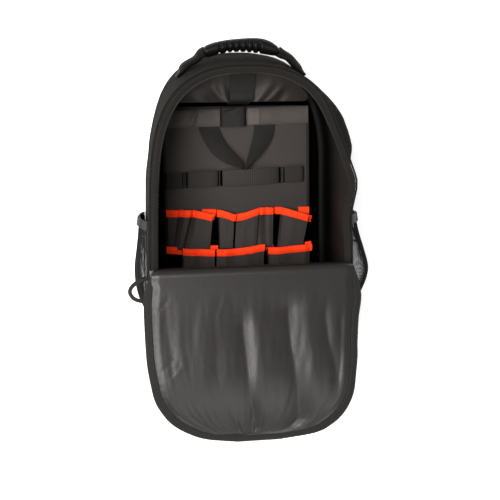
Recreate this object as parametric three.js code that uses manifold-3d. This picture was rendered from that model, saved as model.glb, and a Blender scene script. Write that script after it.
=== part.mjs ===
// A tool backpack lying on its back with its front panel zipped open and folded down.
// Millimetres. +X is the bag's right as it is seen from above, +Y runs towards its top handle,
// and +Z points up out of the opening. The floor is at Z = 0.

import * as THREE from "three";
import { mergeVertices } from "three/addons/utils/BufferGeometryUtils.js";
import Module from "manifold-3d";

const wasm = await Module();
wasm.setup();

// Clearance between pieces that touch, and between a cloth and a curved wall that it lies on.
const GAP = 0.3;
const SEAT = 0.7;

// The body's outline, from the front and from the back.
const FRONT_HALF = 155;
const REAR_HALF = 156;
const FRONT_HEIGHT = 440;
const REAR_HEIGHT = 462;
const ARCH_HEIGHT = 190;
const ARCH_POWER = 2.5;
const FOOT_RADIUS = 56;
const BODY_DEPTH = 175;
const REAR_ROUND = 14;
const BACK_SEAM = 1.3;
const WALL = 3.2;

// The front face, its opening and what runs round it.
const FACE = 2.4;
const RIM_WIDTH = 9;
const HINGE_UP = 125;
const OPENING_RADIUS = 4;
const TAPE = 1.2;
const TAPE_MARGIN = 1.5;
const TAPE_LIP = 2;
const PIPING = 3;

// The folded front panel.
const FLAP_LENGTH = 295;
const FLAP_HALF = 167;
const FLAP_PAD = 3.6;
const BORDER_WIDTH = 11;
const BORDER_TAPER = 0.2;
const BORDER_RAMP = 0.12;
const HINGE_DRAW = 1.45;
const HINGE_RAMP = 0.77;
const BORDER = 2.2;
const LINING = 1.2;
const LINING_MARGIN = 1.5;
const LINING_SLACK = 2;
const LINING_EASE = 0.12;

// Side pockets, side loop and slider.
const POCKET_BOTTOM = 56;
const POCKET_TOP = 206;
const POCKET_REAR = 38;
const POCKET_FRONT = 178;
const NET = 1.2;
const HEM_HEIGHT = 13;
const HEM = 2.6;
const LOOP_WIDTH = 6;
const LOOP_TAPE = 2;
const LOOP_REACH = 31;
const LOOP_TOP = 122;
const LOOP_BOTTOM = 86;
const LOOP_LEVEL = 186;
const SLIDER_LENGTH = 14;
const SLIDER_WIDTH = 8;
const SLIDER_THICKNESS = 4.4;
const SLIDER_IN = 1;
const SLIDER_UP = 4;

// Top handle.
const GRIP_LENGTH = 124;
const GRIP_RISE = 9;
const GRIP_THICKNESS = 21;
const GRIP_DEPTH = 24;
const GRIP_UP = 473;
const GRIP_SIDE = 3;
const GRIP_LEVEL = 92;
const HANDLE_WEB_WIDTH = 24;
const HANDLE_WEB = 2.4;
const HANDLE_REACH = 91;

// The tool panel and what it carries.
const PANEL_HALF = 123;
const PANEL_TOP = 378;
const PANEL_BOTTOM = 16;
const PANEL_PAD = 11;
const PANEL_RADIUS = 22;
const BAND_HEIGHT = 29;
const BAND_SLOPE = 0.02;
const BAND_HALF = 121;
const BAND = 2.6;
const BAND_BULGE = 2;
const KEEPER_WIDTH = 44;
const KEEPER_SIDE = -6;
const KEEPER_RISE = 8;
const KEEPER = 1.8;
const WEBBING = 1.8;
const WEBBING_WIDTH = 26;
const WEBBING_UP = 260;
const WEBBING_SLOPE = 0.03;
const HANDLE_TIP_UP = 274;
const HANDLE_SPREAD = 62;
const HANDLE_RISE = 9;
const POCKET_CLOTH = 1.6;
const UPPER_ROW_MOUTH = 202;
const UPPER_ROW_BOTTOM = 155;
const LOWER_ROW_MOUTH = 140.5;
const LOWER_ROW_BOTTOM = 30;
const POCKET_FULLNESS = 15;
const BINDING_HEIGHT = 12;
const BINDING = 1.6;
const BINDING_CLEAR = 1.1;

// The lining and the strap that hang from the top.
const CURTAIN_HALF = 113;
const CURTAIN = 1.4;
const CURTAIN_TOP_LEVEL = 122;
const CURTAIN_LOW_LEVEL = 72;
const CURTAIN_LOW_UP = 385;
const CENTRE_STRAP_WIDTH = 38;
const CENTRE_STRAP_SIDE = 3;
const CENTRE_STRAP = 1.8;
const CURTAIN_STRAP_LIFT = 9;

// The padded back and the straps under it.
const STRAP_PAD = 11;
const STRAP_WIDTH = 66;
const STRAP_TOP = 428;
const STRAP_LOW = 112;
const STRAP_SIDE = 62;
const STRAP_TOE = 13;
const BACK_PAD = 12.4;
const BACK_PAD_HALF = 54;
const BACK_PAD_SIDE = 66;
const BACK_PAD_TOP = 420;
const BACK_PAD_BOTTOM = 128;
const BACK_PAD_RADIUS = 20;
const LUMBAR_TOP = 116;
const LUMBAR_BOTTOM = 26;
const LUMBAR_HALF = 60;
const LOW_WEB_WIDTH = 25;
const LOW_WEB = 1.8;
const ADJUSTER_LENGTH = 36;
const ADJUSTER_WIDTH = 33;
const ADJUSTER = 7;
const ADJUSTER_RADIUS = 4;

const PAD_LEVEL = STRAP_PAD + GAP;
const BACK_LEVEL = PAD_LEVEL + BACK_PAD + GAP;
const PANEL_LEVEL = BACK_LEVEL + WALL + GAP;
const PANEL_FACE = PANEL_LEVEL + PANEL_PAD;

// How deep the bag is along its height, as shares of its height and of its depth.
const DEPTH_ROWS = [
  { up: 0, depth: 1 },
  { up: 0.5, depth: 1 },
  { up: 0.75, depth: 0.95 },
  { up: 1, depth: 0.85 },
];

// Where the side wall leaves its plain outline. The place is a share of the height and of the
// depth from back to front, and the reach and push are shares of the front half width.
const WALL_DENTS = [
  { side: 1, up: 0.8, depth: 1, reach: 0.32, spread: 0.2, push: -0.077 },
  { side: 1, up: 0.8, depth: 0.75, reach: 0.32, spread: 0.2, push: 0.12 },
  { side: 1, up: 0.59, depth: 1, reach: 0.18, spread: 0.35, push: 0.055 },
  { side: 1, up: 0.46, depth: 0.9, reach: 0.12, spread: 0.3, push: -0.012 },
  { side: -1, up: 0.68, depth: 1, reach: 0.6, spread: 0.6, push: -0.028 },
  { side: -1, up: 0.8, depth: 0.1, reach: 0.5, spread: 0.6, push: -0.06 },
  { side: -1, up: 0.3, depth: 0.6, reach: 0.5, spread: 0.3, push: 0.02 },
  { side: 1, up: 0.2, depth: 0.6, reach: 0.3, spread: 0.5, push: 0.02 },
];

// The folded panel from its fold to its end: how far its middle stands over the front face,
// as a share of the panel's length, and how wide each side is, as a share of its half width.
const FLAP_ROWS = [
  { along: 0, rise: 0.045, left: 0.925, right: 0.91 },
  { along: 0.045, rise: 0.041, left: 0.96, right: 0.95 },
  { along: 0.14, rise: 0.03, left: 1.005, right: 1.01 },
  { along: 0.26, rise: 0.018, left: 1.005, right: 0.99 },
  { along: 0.4, rise: 0.0155, left: 0.998, right: 0.985 },
  { along: 0.48, rise: 0.0145, left: 0.988, right: 0.99 },
  { along: 0.58, rise: -0.008, left: 0.962, right: 0.983 },
  { along: 0.68, rise: -0.035, left: 0.925, right: 0.976 },
  { along: 0.76, rise: -0.062, left: 0.86, right: 0.945 },
  { along: 0.84, rise: -0.092, left: 0.765, right: 0.885 },
  { along: 0.91, rise: -0.12, left: 0.62, right: 0.785 },
  { along: 0.965, rise: -0.143, left: 0.43, right: 0.63 },
  { along: 1, rise: -0.159, left: 0.13, right: 0.28 },
];

// Long soft folds in the flap's lining: each runs from one place to another, given as shares
// of the half width and of the length, and its width and height are shares of the length.
const LINING_FOLDS = [
  { fromSide: -0.11, fromAlong: 0.1, toSide: 0.18, toAlong: 0.98, width: 0.045, height: 0.011 },
  { fromSide: 0.4, fromAlong: 0.16, toSide: 0.64, toAlong: 0.92, width: 0.055, height: 0.013 },
  { fromSide: 0.73, fromAlong: 0.17, toSide: 0.88, toAlong: 0.48, width: 0.035, height: 0.008 },
  { fromSide: 0.02, fromAlong: 0.12, toSide: 0.3, toAlong: 0.98, width: 0.045, height: -0.006 },
  { fromSide: -0.55, fromAlong: 0.2, toSide: -0.5, toAlong: 0.9, width: 0.12, height: 0.01 },
  { fromSide: 0.3, fromAlong: 0.2, toSide: 0.5, toAlong: 0.9, width: 0.04, height: -0.005 },
  { fromSide: 0.86, fromAlong: 0.2, toSide: 0.8, toAlong: 0.4, width: 0.03, height: -0.006 },
];

// The side pockets' cloth from bottom to top: how far it stands out, as a share of its bulge.
const NET_ROWS = [
  { up: 0, out: 0.03 },
  { up: 0.07, out: 0.5 },
  { up: 0.2, out: 0.82 },
  { up: 0.38, out: 1 },
  { up: 0.6, out: 0.86 },
  { up: 0.8, out: 0.66 },
  { up: 1, out: 0.54 },
];

const NET_SIDES = [
  { name: "left", side: -1, bulge: 19 },
  { name: "right", side: 1, bulge: 47 },
];

// Tool pockets: seams as shares of the panel's half width, and each mouth's lift over the
// row's own mouth height, as a share of the panel's half width.
const UPPER_POCKETS = [
  { from: -0.985, to: -0.36, liftFrom: 0.03, liftTo: 0, full: 0.8 },
  { from: -0.36, to: -0.065, liftFrom: 0.02, liftTo: -0.04, full: 0.7 },
  { from: -0.065, to: 0.325, liftFrom: -0.04, liftTo: 0.055, full: 0.9 },
  { from: 0.325, to: 0.975, liftFrom: 0.05, liftTo: -0.065, full: 1 },
];

const LOWER_POCKETS = [
  { from: -0.985, to: -0.8, liftFrom: 0.03, liftTo: 0.01, full: 0.35 },
  { from: -0.8, to: -0.345, liftFrom: 0, liftTo: -0.02, full: 0.9 },
  { from: -0.345, to: 0.345, liftFrom: -0.01, liftTo: 0.055, full: 1.1 },
  { from: 0.345, to: 0.975, liftFrom: 0.02, liftTo: 0.06, full: 1 },
];

// The panel's webbing handle from the band down to its point: each leg's edges as shares of
// the handle's spread, and how far it stands off the panel as a share of its rise.
const HANDLE_ROWS = [
  { down: 0, outer: 1, inner: 0.5, rise: 0 },
  { down: 0.3, outer: 0.87, inner: 0.42, rise: 0.5 },
  { down: 0.6, outer: 0.72, inner: 0.3, rise: 0.9 },
  { down: 0.85, outer: 0.42, inner: 0.1, rise: 1 },
  { down: 1, outer: 0.12, inner: -0.1, rise: 1 },
];

// Webbing loops between tacks, as shares of the panel's half width, and how far each stands
// off the panel, as a share of the webbing's width.
const WEBBING_LOOPS = [
  { from: -0.985, to: -0.745, bulge: 0.24 },
  { from: -0.7, to: -0.25, bulge: 0.3 },
  { from: -0.24, to: 0.6, bulge: 0.34 },
  { from: 0.64, to: 0.92, bulge: 0.26 },
];

// The hanging lining from the top wall down: its height and level as shares of the way from
// its top to its low edge, and its width as a share of its half width.
const CURTAIN_ROWS = [
  { down: 0, fall: 0, half: 0.5 },
  { down: 0.2, fall: 0.3, half: 0.76 },
  { down: 0.5, fall: 0.62, half: 0.96 },
  { down: 0.8, fall: 0.86, half: 1 },
  { down: 1, fall: 1, half: 0.97 },
];

// Gathers in the hanging lining: the fold's place as a share of its half width at the top
// and at the low edge, its width as such a share, and its height in cloth thicknesses.
const CURTAIN_FOLDS = [
  { top: -0.62, low: -0.22, width: 0.06, height: 3 },
  { top: -0.3, low: -0.14, width: 0.045, height: 2.4 },
  { top: 0.55, low: 0.25, width: 0.07, height: 3.4 },
  { top: 0.85, low: 0.42, width: 0.06, height: 2.6 },
];

const smooth = (t) => t * t * (3 - 2 * t);
const mix = (a, b, t) => a + (b - a) * t;
const bell = (t) => Math.exp(-t * t);
const vector = (x, y, z) => new THREE.Vector3(x, y, z);

// The value of a named column at a place along a table, on a smooth curve through its rows.
function readRows(rows, placeColumn, place, column) {
  const last = rows.length - 1;
  if (place <= rows[0][placeColumn]) return rows[0][column];
  if (place >= rows[last][placeColumn]) return rows[last][column];
  let i = 0;
  while (place > rows[i + 1][placeColumn]) i += 1;
  const slope = (k) => {
    const before = rows[Math.max(k - 1, 0)];
    const after = rows[Math.min(k + 1, last)];
    return (after[column] - before[column]) / (after[placeColumn] - before[placeColumn]);
  };
  const span = rows[i + 1][placeColumn] - rows[i][placeColumn];
  const t = (place - rows[i][placeColumn]) / span;
  const bend = t * (1 - t) * span;
  const eased = mix(rows[i][column], rows[i + 1][column], smooth(t));
  return eased + bend * ((1 - t) * slope(i) - t * slope(i + 1));
}

// Turns a closed mesh so that its faces point outwards.
function facingOut(geometry) {
  const position = geometry.attributes.position;
  const index = geometry.index.array;
  const corner = (i) => new THREE.Vector3().fromBufferAttribute(position, index[i]);
  let volume = 0;
  for (let i = 0; i < index.length; i += 3) {
    volume += corner(i).dot(corner(i + 1).cross(corner(i + 2)));
  }
  if (volume < 0) {
    for (let i = 0; i < index.length; i += 3) {
      [index[i + 1], index[i + 2]] = [index[i + 2], index[i + 1]];
    }
  }
  geometry.computeVertexNormals();
  return geometry;
}

// A closed sheet of cloth over a grid of points, as thick as asked along its normals, from a
// start off its surface. point(u, v) gives the surface, with u and v from 0 to 1. A loop closes
// on itself along u.
function sheet(point, columns, rows, thickness, loop = false, start = 0) {
  const across = loop ? columns : columns + 1;
  const down = rows + 1;
  const grid = [];
  for (let j = 0; j < down; j++) {
    for (let i = 0; i < across; i++) grid.push(point(i / columns, j / rows));
  }
  const clampColumn = (i) => (loop ? (i + across) % across : Math.min(Math.max(i, 0), columns));
  const clampRow = (j) => Math.min(Math.max(j, 0), rows);
  const at = (i, j) => grid[clampRow(j) * across + clampColumn(i)];
  const positions = [];
  for (const lift of [start, start + thickness]) {
    for (let j = 0; j < down; j++) {
      for (let i = 0; i < across; i++) {
        const alongU = at(i + 1, j).clone().sub(at(i - 1, j));
        const alongV = at(i, j + 1).clone().sub(at(i, j - 1));
        const normal = alongU.cross(alongV).normalize();
        const p = at(i, j).clone().addScaledVector(normal, lift);
        positions.push(p.x, p.y, p.z);
      }
    }
  }
  const far = down * across;
  const index = [];
  const quad = (a, b, c, d) => index.push(a, b, c, a, c, d);
  for (let j = 0; j < rows; j++) {
    for (let i = 0; i < columns; i++) {
      const a = j * across + i;
      const b = j * across + clampColumn(i + 1);
      quad(a, a + across, b + across, b);
      quad(far + a, far + b, far + b + across, far + a + across);
    }
  }
  for (let i = 0; i < columns; i++) {
    const next = clampColumn(i + 1);
    const last = rows * across;
    quad(i, next, far + next, far + i);
    quad(last + i, far + last + i, far + last + next, last + next);
  }
  if (!loop) {
    for (let j = 0; j < rows; j++) {
      const a = j * across;
      const b = a + columns;
      quad(a, far + a, far + a + across, a + across);
      quad(b, b + across, far + b + across, far + b);
    }
  }
  const geometry = new THREE.BufferGeometry();
  geometry.setAttribute("position", new THREE.Float32BufferAttribute(positions, 3));
  geometry.setIndex(index);
  return facingOut(geometry);
}

// A flat strap whose middle follows a smooth path, with its width along a direction or along
// what a function gives.
function strap(points, widthDirection, width, thickness, steps) {
  const curve = new THREE.CatmullRomCurve3(points, false, "centripetal");
  const point = (u, v) => {
    const direction = typeof widthDirection === "function" ? widthDirection(u, curve) : widthDirection;
    return curve.getPointAt(u).addScaledVector(direction, (v - 0.5) * width);
  };
  return sheet(point, steps, 1, thickness, false, -thickness / 2);
}

// A geometry's merged triangles, as a manifold solid and back.
function solid(geometry) {
  const bare = geometry.clone();
  bare.deleteAttribute("normal");
  bare.deleteAttribute("uv");
  const merged = mergeVertices(bare, 1e-4);
  const mesh = new wasm.Mesh({
    numProp: 3,
    vertProperties: merged.attributes.position.array,
    triVerts: new Uint32Array(merged.index.array),
  });
  return new wasm.Manifold(mesh);
}

function geometryOf(manifold) {
  const mesh = manifold.getMesh();
  const geometry = new THREE.BufferGeometry();
  geometry.setAttribute("position", new THREE.BufferAttribute(mesh.vertProperties, 3));
  geometry.setIndex(new THREE.BufferAttribute(mesh.triVerts, 1));
  geometry.computeVertexNormals();
  return geometry;
}

// The body's outline is read at levels that run from the middle of the foot up one side to
// the middle of the arch.
const LEVELS = [];
const FOOT_STEPS = 5;
const SIDE_STEPS = 4;
const ARCH_STEPS = 10;
const ARCH_END = 0.96;
for (let i = 0; i <= FOOT_STEPS; i++) LEVELS.push({ zone: "foot", share: i / FOOT_STEPS });
for (let i = 1; i < SIDE_STEPS; i++) LEVELS.push({ zone: "side", share: i / SIDE_STEPS });
for (let i = 0; i <= ARCH_STEPS; i++) {
  LEVELS.push({ zone: "arch", share: (ARCH_END * i) / ARCH_STEPS });
}

function frontLevel(up) {
  return BACK_LEVEL + BODY_DEPTH * readRows(DEPTH_ROWS, "up", up / FRONT_HEIGHT, "depth");
}

// How far a side wall stands out of its plain outline at a height and depth.
function dentAt(side, up, depth) {
  let push = 0;
  for (const row of WALL_DENTS) {
    if (row.side !== side) continue;
    const across = (up - row.up * FRONT_HEIGHT) / (row.reach * FRONT_HALF);
    push += row.push * bell(across) * bell((depth - row.depth) / row.spread);
  }
  return push * FRONT_HALF;
}

// A point of the body's outline on one side (-1 or 1), at a level, a share of the depth from
// back to front, and a distance in from the outline.
function bodyPoint(side, level, depth, inset = 0) {
  const half = mix(REAR_HALF, FRONT_HALF, depth) - inset;
  const height = mix(REAR_HEIGHT, FRONT_HEIGHT, depth) - inset;
  const foot = FOOT_RADIUS - inset;
  const arch = ARCH_HEIGHT - inset;
  let x = half;
  let y = mix(inset + foot, height - arch, level.share);
  const angle = (level.share * Math.PI) / 2;
  if (level.zone === "foot") {
    x = half - foot + foot * Math.sin(angle);
    y = inset + foot * (1 - Math.cos(angle));
  }
  if (level.zone === "arch") {
    x = half * Math.pow(Math.cos(angle), 2 / ARCH_POWER);
    y = height - arch + arch * Math.pow(Math.sin(angle), 2 / ARCH_POWER);
  }
  const z = mix(BACK_LEVEL, frontLevel(y), depth);
  return vector(side * (x + dentAt(side, y, depth)), y, z);
}

// The level, as an index with a fraction, at which a side reaches a height on the front.
function levelAtHeight(height, inset) {
  for (let i = 1; i < LEVELS.length; i++) {
    const before = bodyPoint(1, LEVELS[i - 1], 1, inset).y;
    const after = bodyPoint(1, LEVELS[i], 1, inset).y;
    if (height <= after) return i - 1 + (height - before) / (after - before);
  }
  return LEVELS.length - 1;
}

function bodyPointAt(side, place, depth, inset) {
  const i = Math.min(Math.floor(place), LEVELS.length - 2);
  const before = bodyPoint(side, LEVELS[i], depth, inset);
  return before.lerp(bodyPoint(side, LEVELS[i + 1], depth, inset), place - i);
}

// The x of a side wall at a height and a level above the floor.
function wallX(side, up, level) {
  const depth = (level - BACK_LEVEL) / (frontLevel(up) - BACK_LEVEL);
  const place = levelAtHeight(up, 0);
  return bodyPointAt(side, place, depth, 0).x;
}

// All the way round the body: up the right side, over the arch and down the left.
function ringPoint(u, depth, inset) {
  const count = LEVELS.length;
  const i = Math.round(u * 2 * count) % (2 * count);
  if (i < count) return bodyPoint(1, LEVELS[i], depth, inset);
  return bodyPoint(-1, LEVELS[2 * count - 1 - i], depth, inset);
}

// The side wall from its rounded rear edge to the front.
const REAR_STEPS = 3;
const WALL_DEPTHS = [0.22, 0.38, 0.55, 0.72, 0.87, 1];

function bodyGusset() {
  const steps = [];
  const rearDepth = REAR_ROUND / BODY_DEPTH;
  for (let i = 0; i <= REAR_STEPS; i++) {
    const angle = ((i / REAR_STEPS) * Math.PI) / 2;
    const inset = REAR_ROUND * (1 - Math.sin(angle));
    steps.push({ depth: rearDepth * (1 - Math.cos(angle)), inset });
  }
  for (const depth of WALL_DEPTHS) steps.push({ depth, inset: 0 });
  const rows = steps.length - 1;
  const point = (u, v) => {
    const step = steps[Math.round(v * rows)];
    return ringPoint(u, step.depth, step.inset);
  };
  return sheet(point, 2 * LEVELS.length, rows, -WALL, true);
}

// A plate that fills the body's outline at a depth, from rows that join its two sides.
function outlinePlate(depth, inset, lift, thickness, columns = 1) {
  const rows = LEVELS.length - 1;
  const point = (u, v) => {
    const level = LEVELS[Math.round(v * rows)];
    const left = bodyPoint(-1, level, depth, inset);
    const right = bodyPoint(1, level, depth, inset);
    const p = left.lerp(right, u);
    p.z += lift;
    return p;
  };
  return sheet(point, columns, rows, thickness);
}

// The opening's outline from the hinge up: rows of left and right points.
const OPENING_ROWS = 16;

function openingPoint(side, share, inset) {
  const start = levelAtHeight(HINGE_UP, inset);
  return bodyPointAt(side, mix(start, LEVELS.length - 1, share), 1, inset);
}

function frontFace() {
  const plate = solid(outlinePlate(1, 0, GAP, FACE));
  const deep = 60;
  const point = (u, v) => {
    const left = openingPoint(-1, v, RIM_WIDTH);
    const right = openingPoint(1, v, RIM_WIDTH);
    const corner = Math.max(0, OPENING_RADIUS - (left.y - HINGE_UP));
    const pull = OPENING_RADIUS - Math.sqrt(Math.max(0, OPENING_RADIUS ** 2 - corner ** 2));
    left.x += pull;
    right.x -= pull;
    const p = left.lerp(right, u);
    p.z -= deep / 2;
    return p;
  };
  const cutter = solid(sheet(point, 1, 2 * OPENING_ROWS, deep));
  return geometryOf(plate.subtract(cutter));
}

// The rim's zip tape runs from the hinge's left end over the arch to its right end.
function rimZipTape() {
  const lift = GAP + FACE + SEAT;
  const point = (u, v) => {
    const inset = mix(TAPE_MARGIN, RIM_WIDTH + TAPE_LIP, v);
    const side = u < 0.5 ? -1 : 1;
    const share = 1 - Math.abs(2 * u - 1);
    const p = openingPoint(side, share, inset);
    if (share === 1) p.x = 0;
    p.z += lift;
    return p;
  };
  return sheet(point, 2 * OPENING_ROWS, 1, -TAPE);
}

function rimPiping() {
  const point = (u, v) => {
    const p = ringPoint(u, 1, -SEAT);
    p.z += GAP + FACE / 2 + (v - 0.5) * PIPING;
    return p;
  };
  return sheet(point, 2 * LEVELS.length, 1, PIPING, true);
}

function backPanel() {
  return outlinePlate(0, REAR_ROUND + BACK_SEAM, 0, WALL);
}

// The folded panel's middle line, in the YZ plane: half a turn at the fold, then back over the
// lower front and down past the foot. Along runs from -1 at the hinge to 0 after the fold, and
// on to 1 at the end.
const FRONT_TOP = frontLevel(0) + GAP + FACE;
const FOLD_TOP = FRONT_TOP + FLAP_LENGTH * FLAP_ROWS[0].rise;
const FOLD_LOW = FRONT_TOP - FACE / 2;
const FOLD_RADIUS = (FOLD_TOP - FOLD_LOW) / 2;
const FLAP_SAMPLES = 80;
const FOLD_START = HINGE_UP + GAP + SEAT;
const flapSamples = [{ y: FOLD_START, z: FOLD_TOP }];
for (let i = 1; i <= FLAP_SAMPLES; i++) {
  const before = flapSamples[i - 1];
  const step = FLAP_LENGTH / FLAP_SAMPLES;
  const z = FRONT_TOP + FLAP_LENGTH * readRows(FLAP_ROWS, "along", i / FLAP_SAMPLES, "rise");
  flapSamples.push({ y: before.y - Math.sqrt(step ** 2 - (z - before.z) ** 2), z });
}

function flapMiddle(along) {
  if (along < 0) {
    const angle = (0.5 + along) * Math.PI;
    const y = FOLD_START + FOLD_RADIUS * Math.cos(angle);
    return vector(0, y, (FOLD_TOP + FOLD_LOW) / 2 + FOLD_RADIUS * Math.sin(angle));
  }
  const place = Math.min(along, 1) * FLAP_SAMPLES;
  const i = Math.min(Math.floor(place), FLAP_SAMPLES - 1);
  const y = mix(flapSamples[i].y, flapSamples[i + 1].y, place - i);
  return vector(0, y, mix(flapSamples[i].z, flapSamples[i + 1].z, place - i));
}

// A point of the flap: side from -1 to 1, the distance in from its edge, which narrows at the
// fold and widens to the hinge, a margin beyond it, and the lift off its middle line towards
// the lining.
function flapPoint(side, along, inset, margin, lift) {
  const column = side < 0 ? "left" : "right";
  const half = FLAP_HALF * readRows(FLAP_ROWS, "along", along, column);
  const away = Math.min(1, along < 0 ? -along / HINGE_RAMP : along / BORDER_RAMP);
  const narrow = mix(BORDER_TAPER, along < 0 ? HINGE_DRAW : 1, smooth(away));
  const place = along < 0 ? along : along * (1 - (inset + margin) / FLAP_LENGTH);
  const p = flapMiddle(place);
  const small = 0.01;
  const tangent = flapMiddle(place + small).sub(flapMiddle(place - small)).normalize();
  p.x = side * half * (1 - (inset * narrow + margin) / FLAP_HALF);
  p.y += lift * tangent.z;
  p.z -= lift * tangent.y;
  return p;
}

// The grid rows of the flap: its table's places, with steps between them.
const ROW_STEPS = 2;
const FLAP_GRID = (FLAP_ROWS.length - 1) * ROW_STEPS;

function flapPlace(k) {
  const i = Math.min(Math.floor(k / ROW_STEPS), FLAP_ROWS.length - 2);
  return mix(FLAP_ROWS[i].along, FLAP_ROWS[i + 1].along, k / ROW_STEPS - i);
}

const FOLD_GRID = 5;

// The padded cloth starts at the hinge and turns over the fold.
function flapPanel() {
  const rows = FOLD_GRID + FLAP_GRID;
  const point = (u, v) => {
    const k = Math.round(v * rows) - FOLD_GRID;
    const along = k < 0 ? k / FOLD_GRID : flapPlace(k);
    return flapPoint(2 * u - 1, along, BORDER_WIDTH, GAP, FLAP_PAD / 2);
  };
  return sheet(point, 8, rows, FLAP_PAD);
}

// How far the lining's folds lift it at a place.
function liningLift(side, along) {
  let lift = 0;
  for (const fold of LINING_FOLDS) {
    const t = (along - fold.fromAlong) / (fold.toAlong - fold.fromAlong);
    const inside = Math.min(Math.max(t, 0), 1);
    const beyond = ((t - inside) * (fold.toAlong - fold.fromAlong)) / fold.width;
    const across = (side - mix(fold.fromSide, fold.toSide, inside)) * (FLAP_HALF / FLAP_LENGTH);
    lift += fold.height * bell(across / fold.width) * bell(beyond);
  }
  return lift * FLAP_LENGTH;
}

// The lining covers the fold too, and its folds die away at its edges.
function flapLining() {
  const foldRows = 3;
  const rows = foldRows + FLAP_GRID;
  const level = FLAP_PAD / 2 + GAP + LINING_SLACK;
  const point = (u, v) => {
    const k = Math.round(v * rows) - foldRows;
    const along = k < 0 ? (0.6 * k) / foldRows : flapPlace(k);
    const side = 2 * u - 1;
    const edge = smooth(Math.min(1, (1 - Math.abs(side)) / LINING_EASE));
    const end = smooth(Math.min(1, (1 - along) / LINING_EASE));
    const lift = Math.max(liningLift(side, along), -LINING_SLACK) * edge * end;
    return flapPoint(side, along, BORDER_WIDTH, LINING_MARGIN, level + lift);
  };
  return sheet(point, 18, rows, -LINING);
}

// The flap's zip tape, down its left edge, round its end and up its right edge.
function flapBorder() {
  const endSteps = 4;
  const steps = 2 * FLAP_GRID + endSteps;
  const point = (u, v) => {
    const k = Math.round(u * steps);
    const inset = mix(0, BORDER_WIDTH, v);
    const edge = (side, place) => flapPoint(side, place, inset, 0, BORDER / 2);
    if (k <= FLAP_GRID) return edge(-1, flapPlace(k));
    if (k >= FLAP_GRID + endSteps) return edge(1, flapPlace(steps - k));
    return edge(-1, 1).lerp(edge(1, 1), (k - FLAP_GRID) / endSteps);
  };
  return sheet(point, steps, 1, BORDER);
}

// A side pocket's cloth, from the wall behind to the wall in front of it.
function pocketPoint(pocket, u, v) {
  const up = mix(POCKET_BOTTOM, POCKET_TOP, v);
  const level = mix(POCKET_REAR, POCKET_FRONT, u);
  const round = Math.pow(Math.sin(Math.PI * u), 0.6);
  const out = pocket.bulge * readRows(NET_ROWS, "up", v, "out") * round;
  const x = wallX(pocket.side, up, level) + pocket.side * (SEAT + out);
  return vector(x, up, level);
}

const NET_COLUMNS = 10;

function meshPocket(pocket) {
  const point = (u, v) => pocketPoint(pocket, u, v);
  return sheet(point, NET_COLUMNS, 9, -pocket.side * NET);
}

function meshHem(pocket) {
  const low = 1 - HEM_HEIGHT / (POCKET_TOP - POCKET_BOTTOM);
  const point = (u, v) => pocketPoint(pocket, u, mix(low, 1, v));
  const start = -pocket.side * (NET + SEAT);
  return sheet(point, NET_COLUMNS, 1, -pocket.side * HEM, false, start);
}

// The narrow tape loop leaves the left wall, turns and goes back in lower down.
function sideLoop() {
  const wall = (up) => wallX(-1, up, LOOP_LEVEL) - SEAT;
  const place = (reach, fall) => {
    const up = mix(LOOP_TOP, LOOP_BOTTOM, fall);
    return vector(wall(up) - reach * LOOP_REACH, up, LOOP_LEVEL);
  };
  const points = [
    place(0, 0),
    place(0.5, 0.12),
    place(0.9, 0.38),
    place(1, 0.64),
    place(0.8, 0.9),
    place(0.4, 1.02),
    place(0, 1),
  ];
  return strap(points, vector(0, 0, 1), LOOP_WIDTH, LOOP_TAPE, 24);
}

function roundedRectangle(halfWidth, bottom, top, radius) {
  const shape = new THREE.Shape();
  shape.moveTo(-halfWidth + radius, bottom);
  shape.lineTo(halfWidth - radius, bottom);
  shape.absarc(halfWidth - radius, bottom + radius, radius, -Math.PI / 2, 0, false);
  shape.lineTo(halfWidth, top - radius);
  shape.absarc(halfWidth - radius, top - radius, radius, 0, Math.PI / 2, false);
  shape.lineTo(-halfWidth + radius, top);
  shape.absarc(-halfWidth + radius, top - radius, radius, Math.PI / 2, Math.PI, false);
  shape.lineTo(-halfWidth, bottom + radius);
  shape.absarc(-halfWidth + radius, bottom + radius, radius, Math.PI, 1.5 * Math.PI, false);
  return shape;
}

function pad(halfWidth, bottom, top, radius, thickness) {
  const shape = roundedRectangle(halfWidth, bottom, top, radius);
  return new THREE.ExtrudeGeometry(shape, { depth: thickness, bevelEnabled: false, curveSegments: 3 });
}

function zipSlider() {
  return pad(SLIDER_WIDTH / 2, -SLIDER_LENGTH / 2, SLIDER_LENGTH / 2, SLIDER_WIDTH / 3, SLIDER_THICKNESS);
}

// The grip bows up between its ends.
function gripPoint(reach) {
  const y = GRIP_UP - GRIP_RISE * ((2 * reach) / GRIP_LENGTH) ** 2;
  return vector(GRIP_SIDE + reach, y, GRIP_LEVEL);
}

function handleGrip() {
  const points = [];
  const count = 8;
  for (let i = 0; i <= count; i++) {
    points.push(gripPoint(mix(-GRIP_LENGTH / 2, GRIP_LENGTH / 2, i / count)));
  }
  const path = new THREE.CatmullRomCurve3(points);
  const section = new THREE.Shape();
  section.absellipse(0, 0, GRIP_DEPTH / 2, GRIP_THICKNESS / 2, 0, 2 * Math.PI, false);
  const options = { steps: 16, curveSegments: 6, extrudePath: path, bevelEnabled: false };
  return new THREE.ExtrudeGeometry(section, options);
}

// A point on the body's arch at a distance from its middle, a level and a distance out.
function archPoint(side, reach, level, out) {
  const depth = (level - BACK_LEVEL) / (frontLevel(FRONT_HEIGHT) - BACK_LEVEL);
  const half = mix(REAR_HALF, FRONT_HALF, depth);
  const share = Math.acos(Math.pow(reach / half, ARCH_POWER / 2)) * (2 / Math.PI);
  const p = bodyPoint(side, { zone: "arch", share }, depth, -out);
  p.z = level;
  return p;
}

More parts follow.
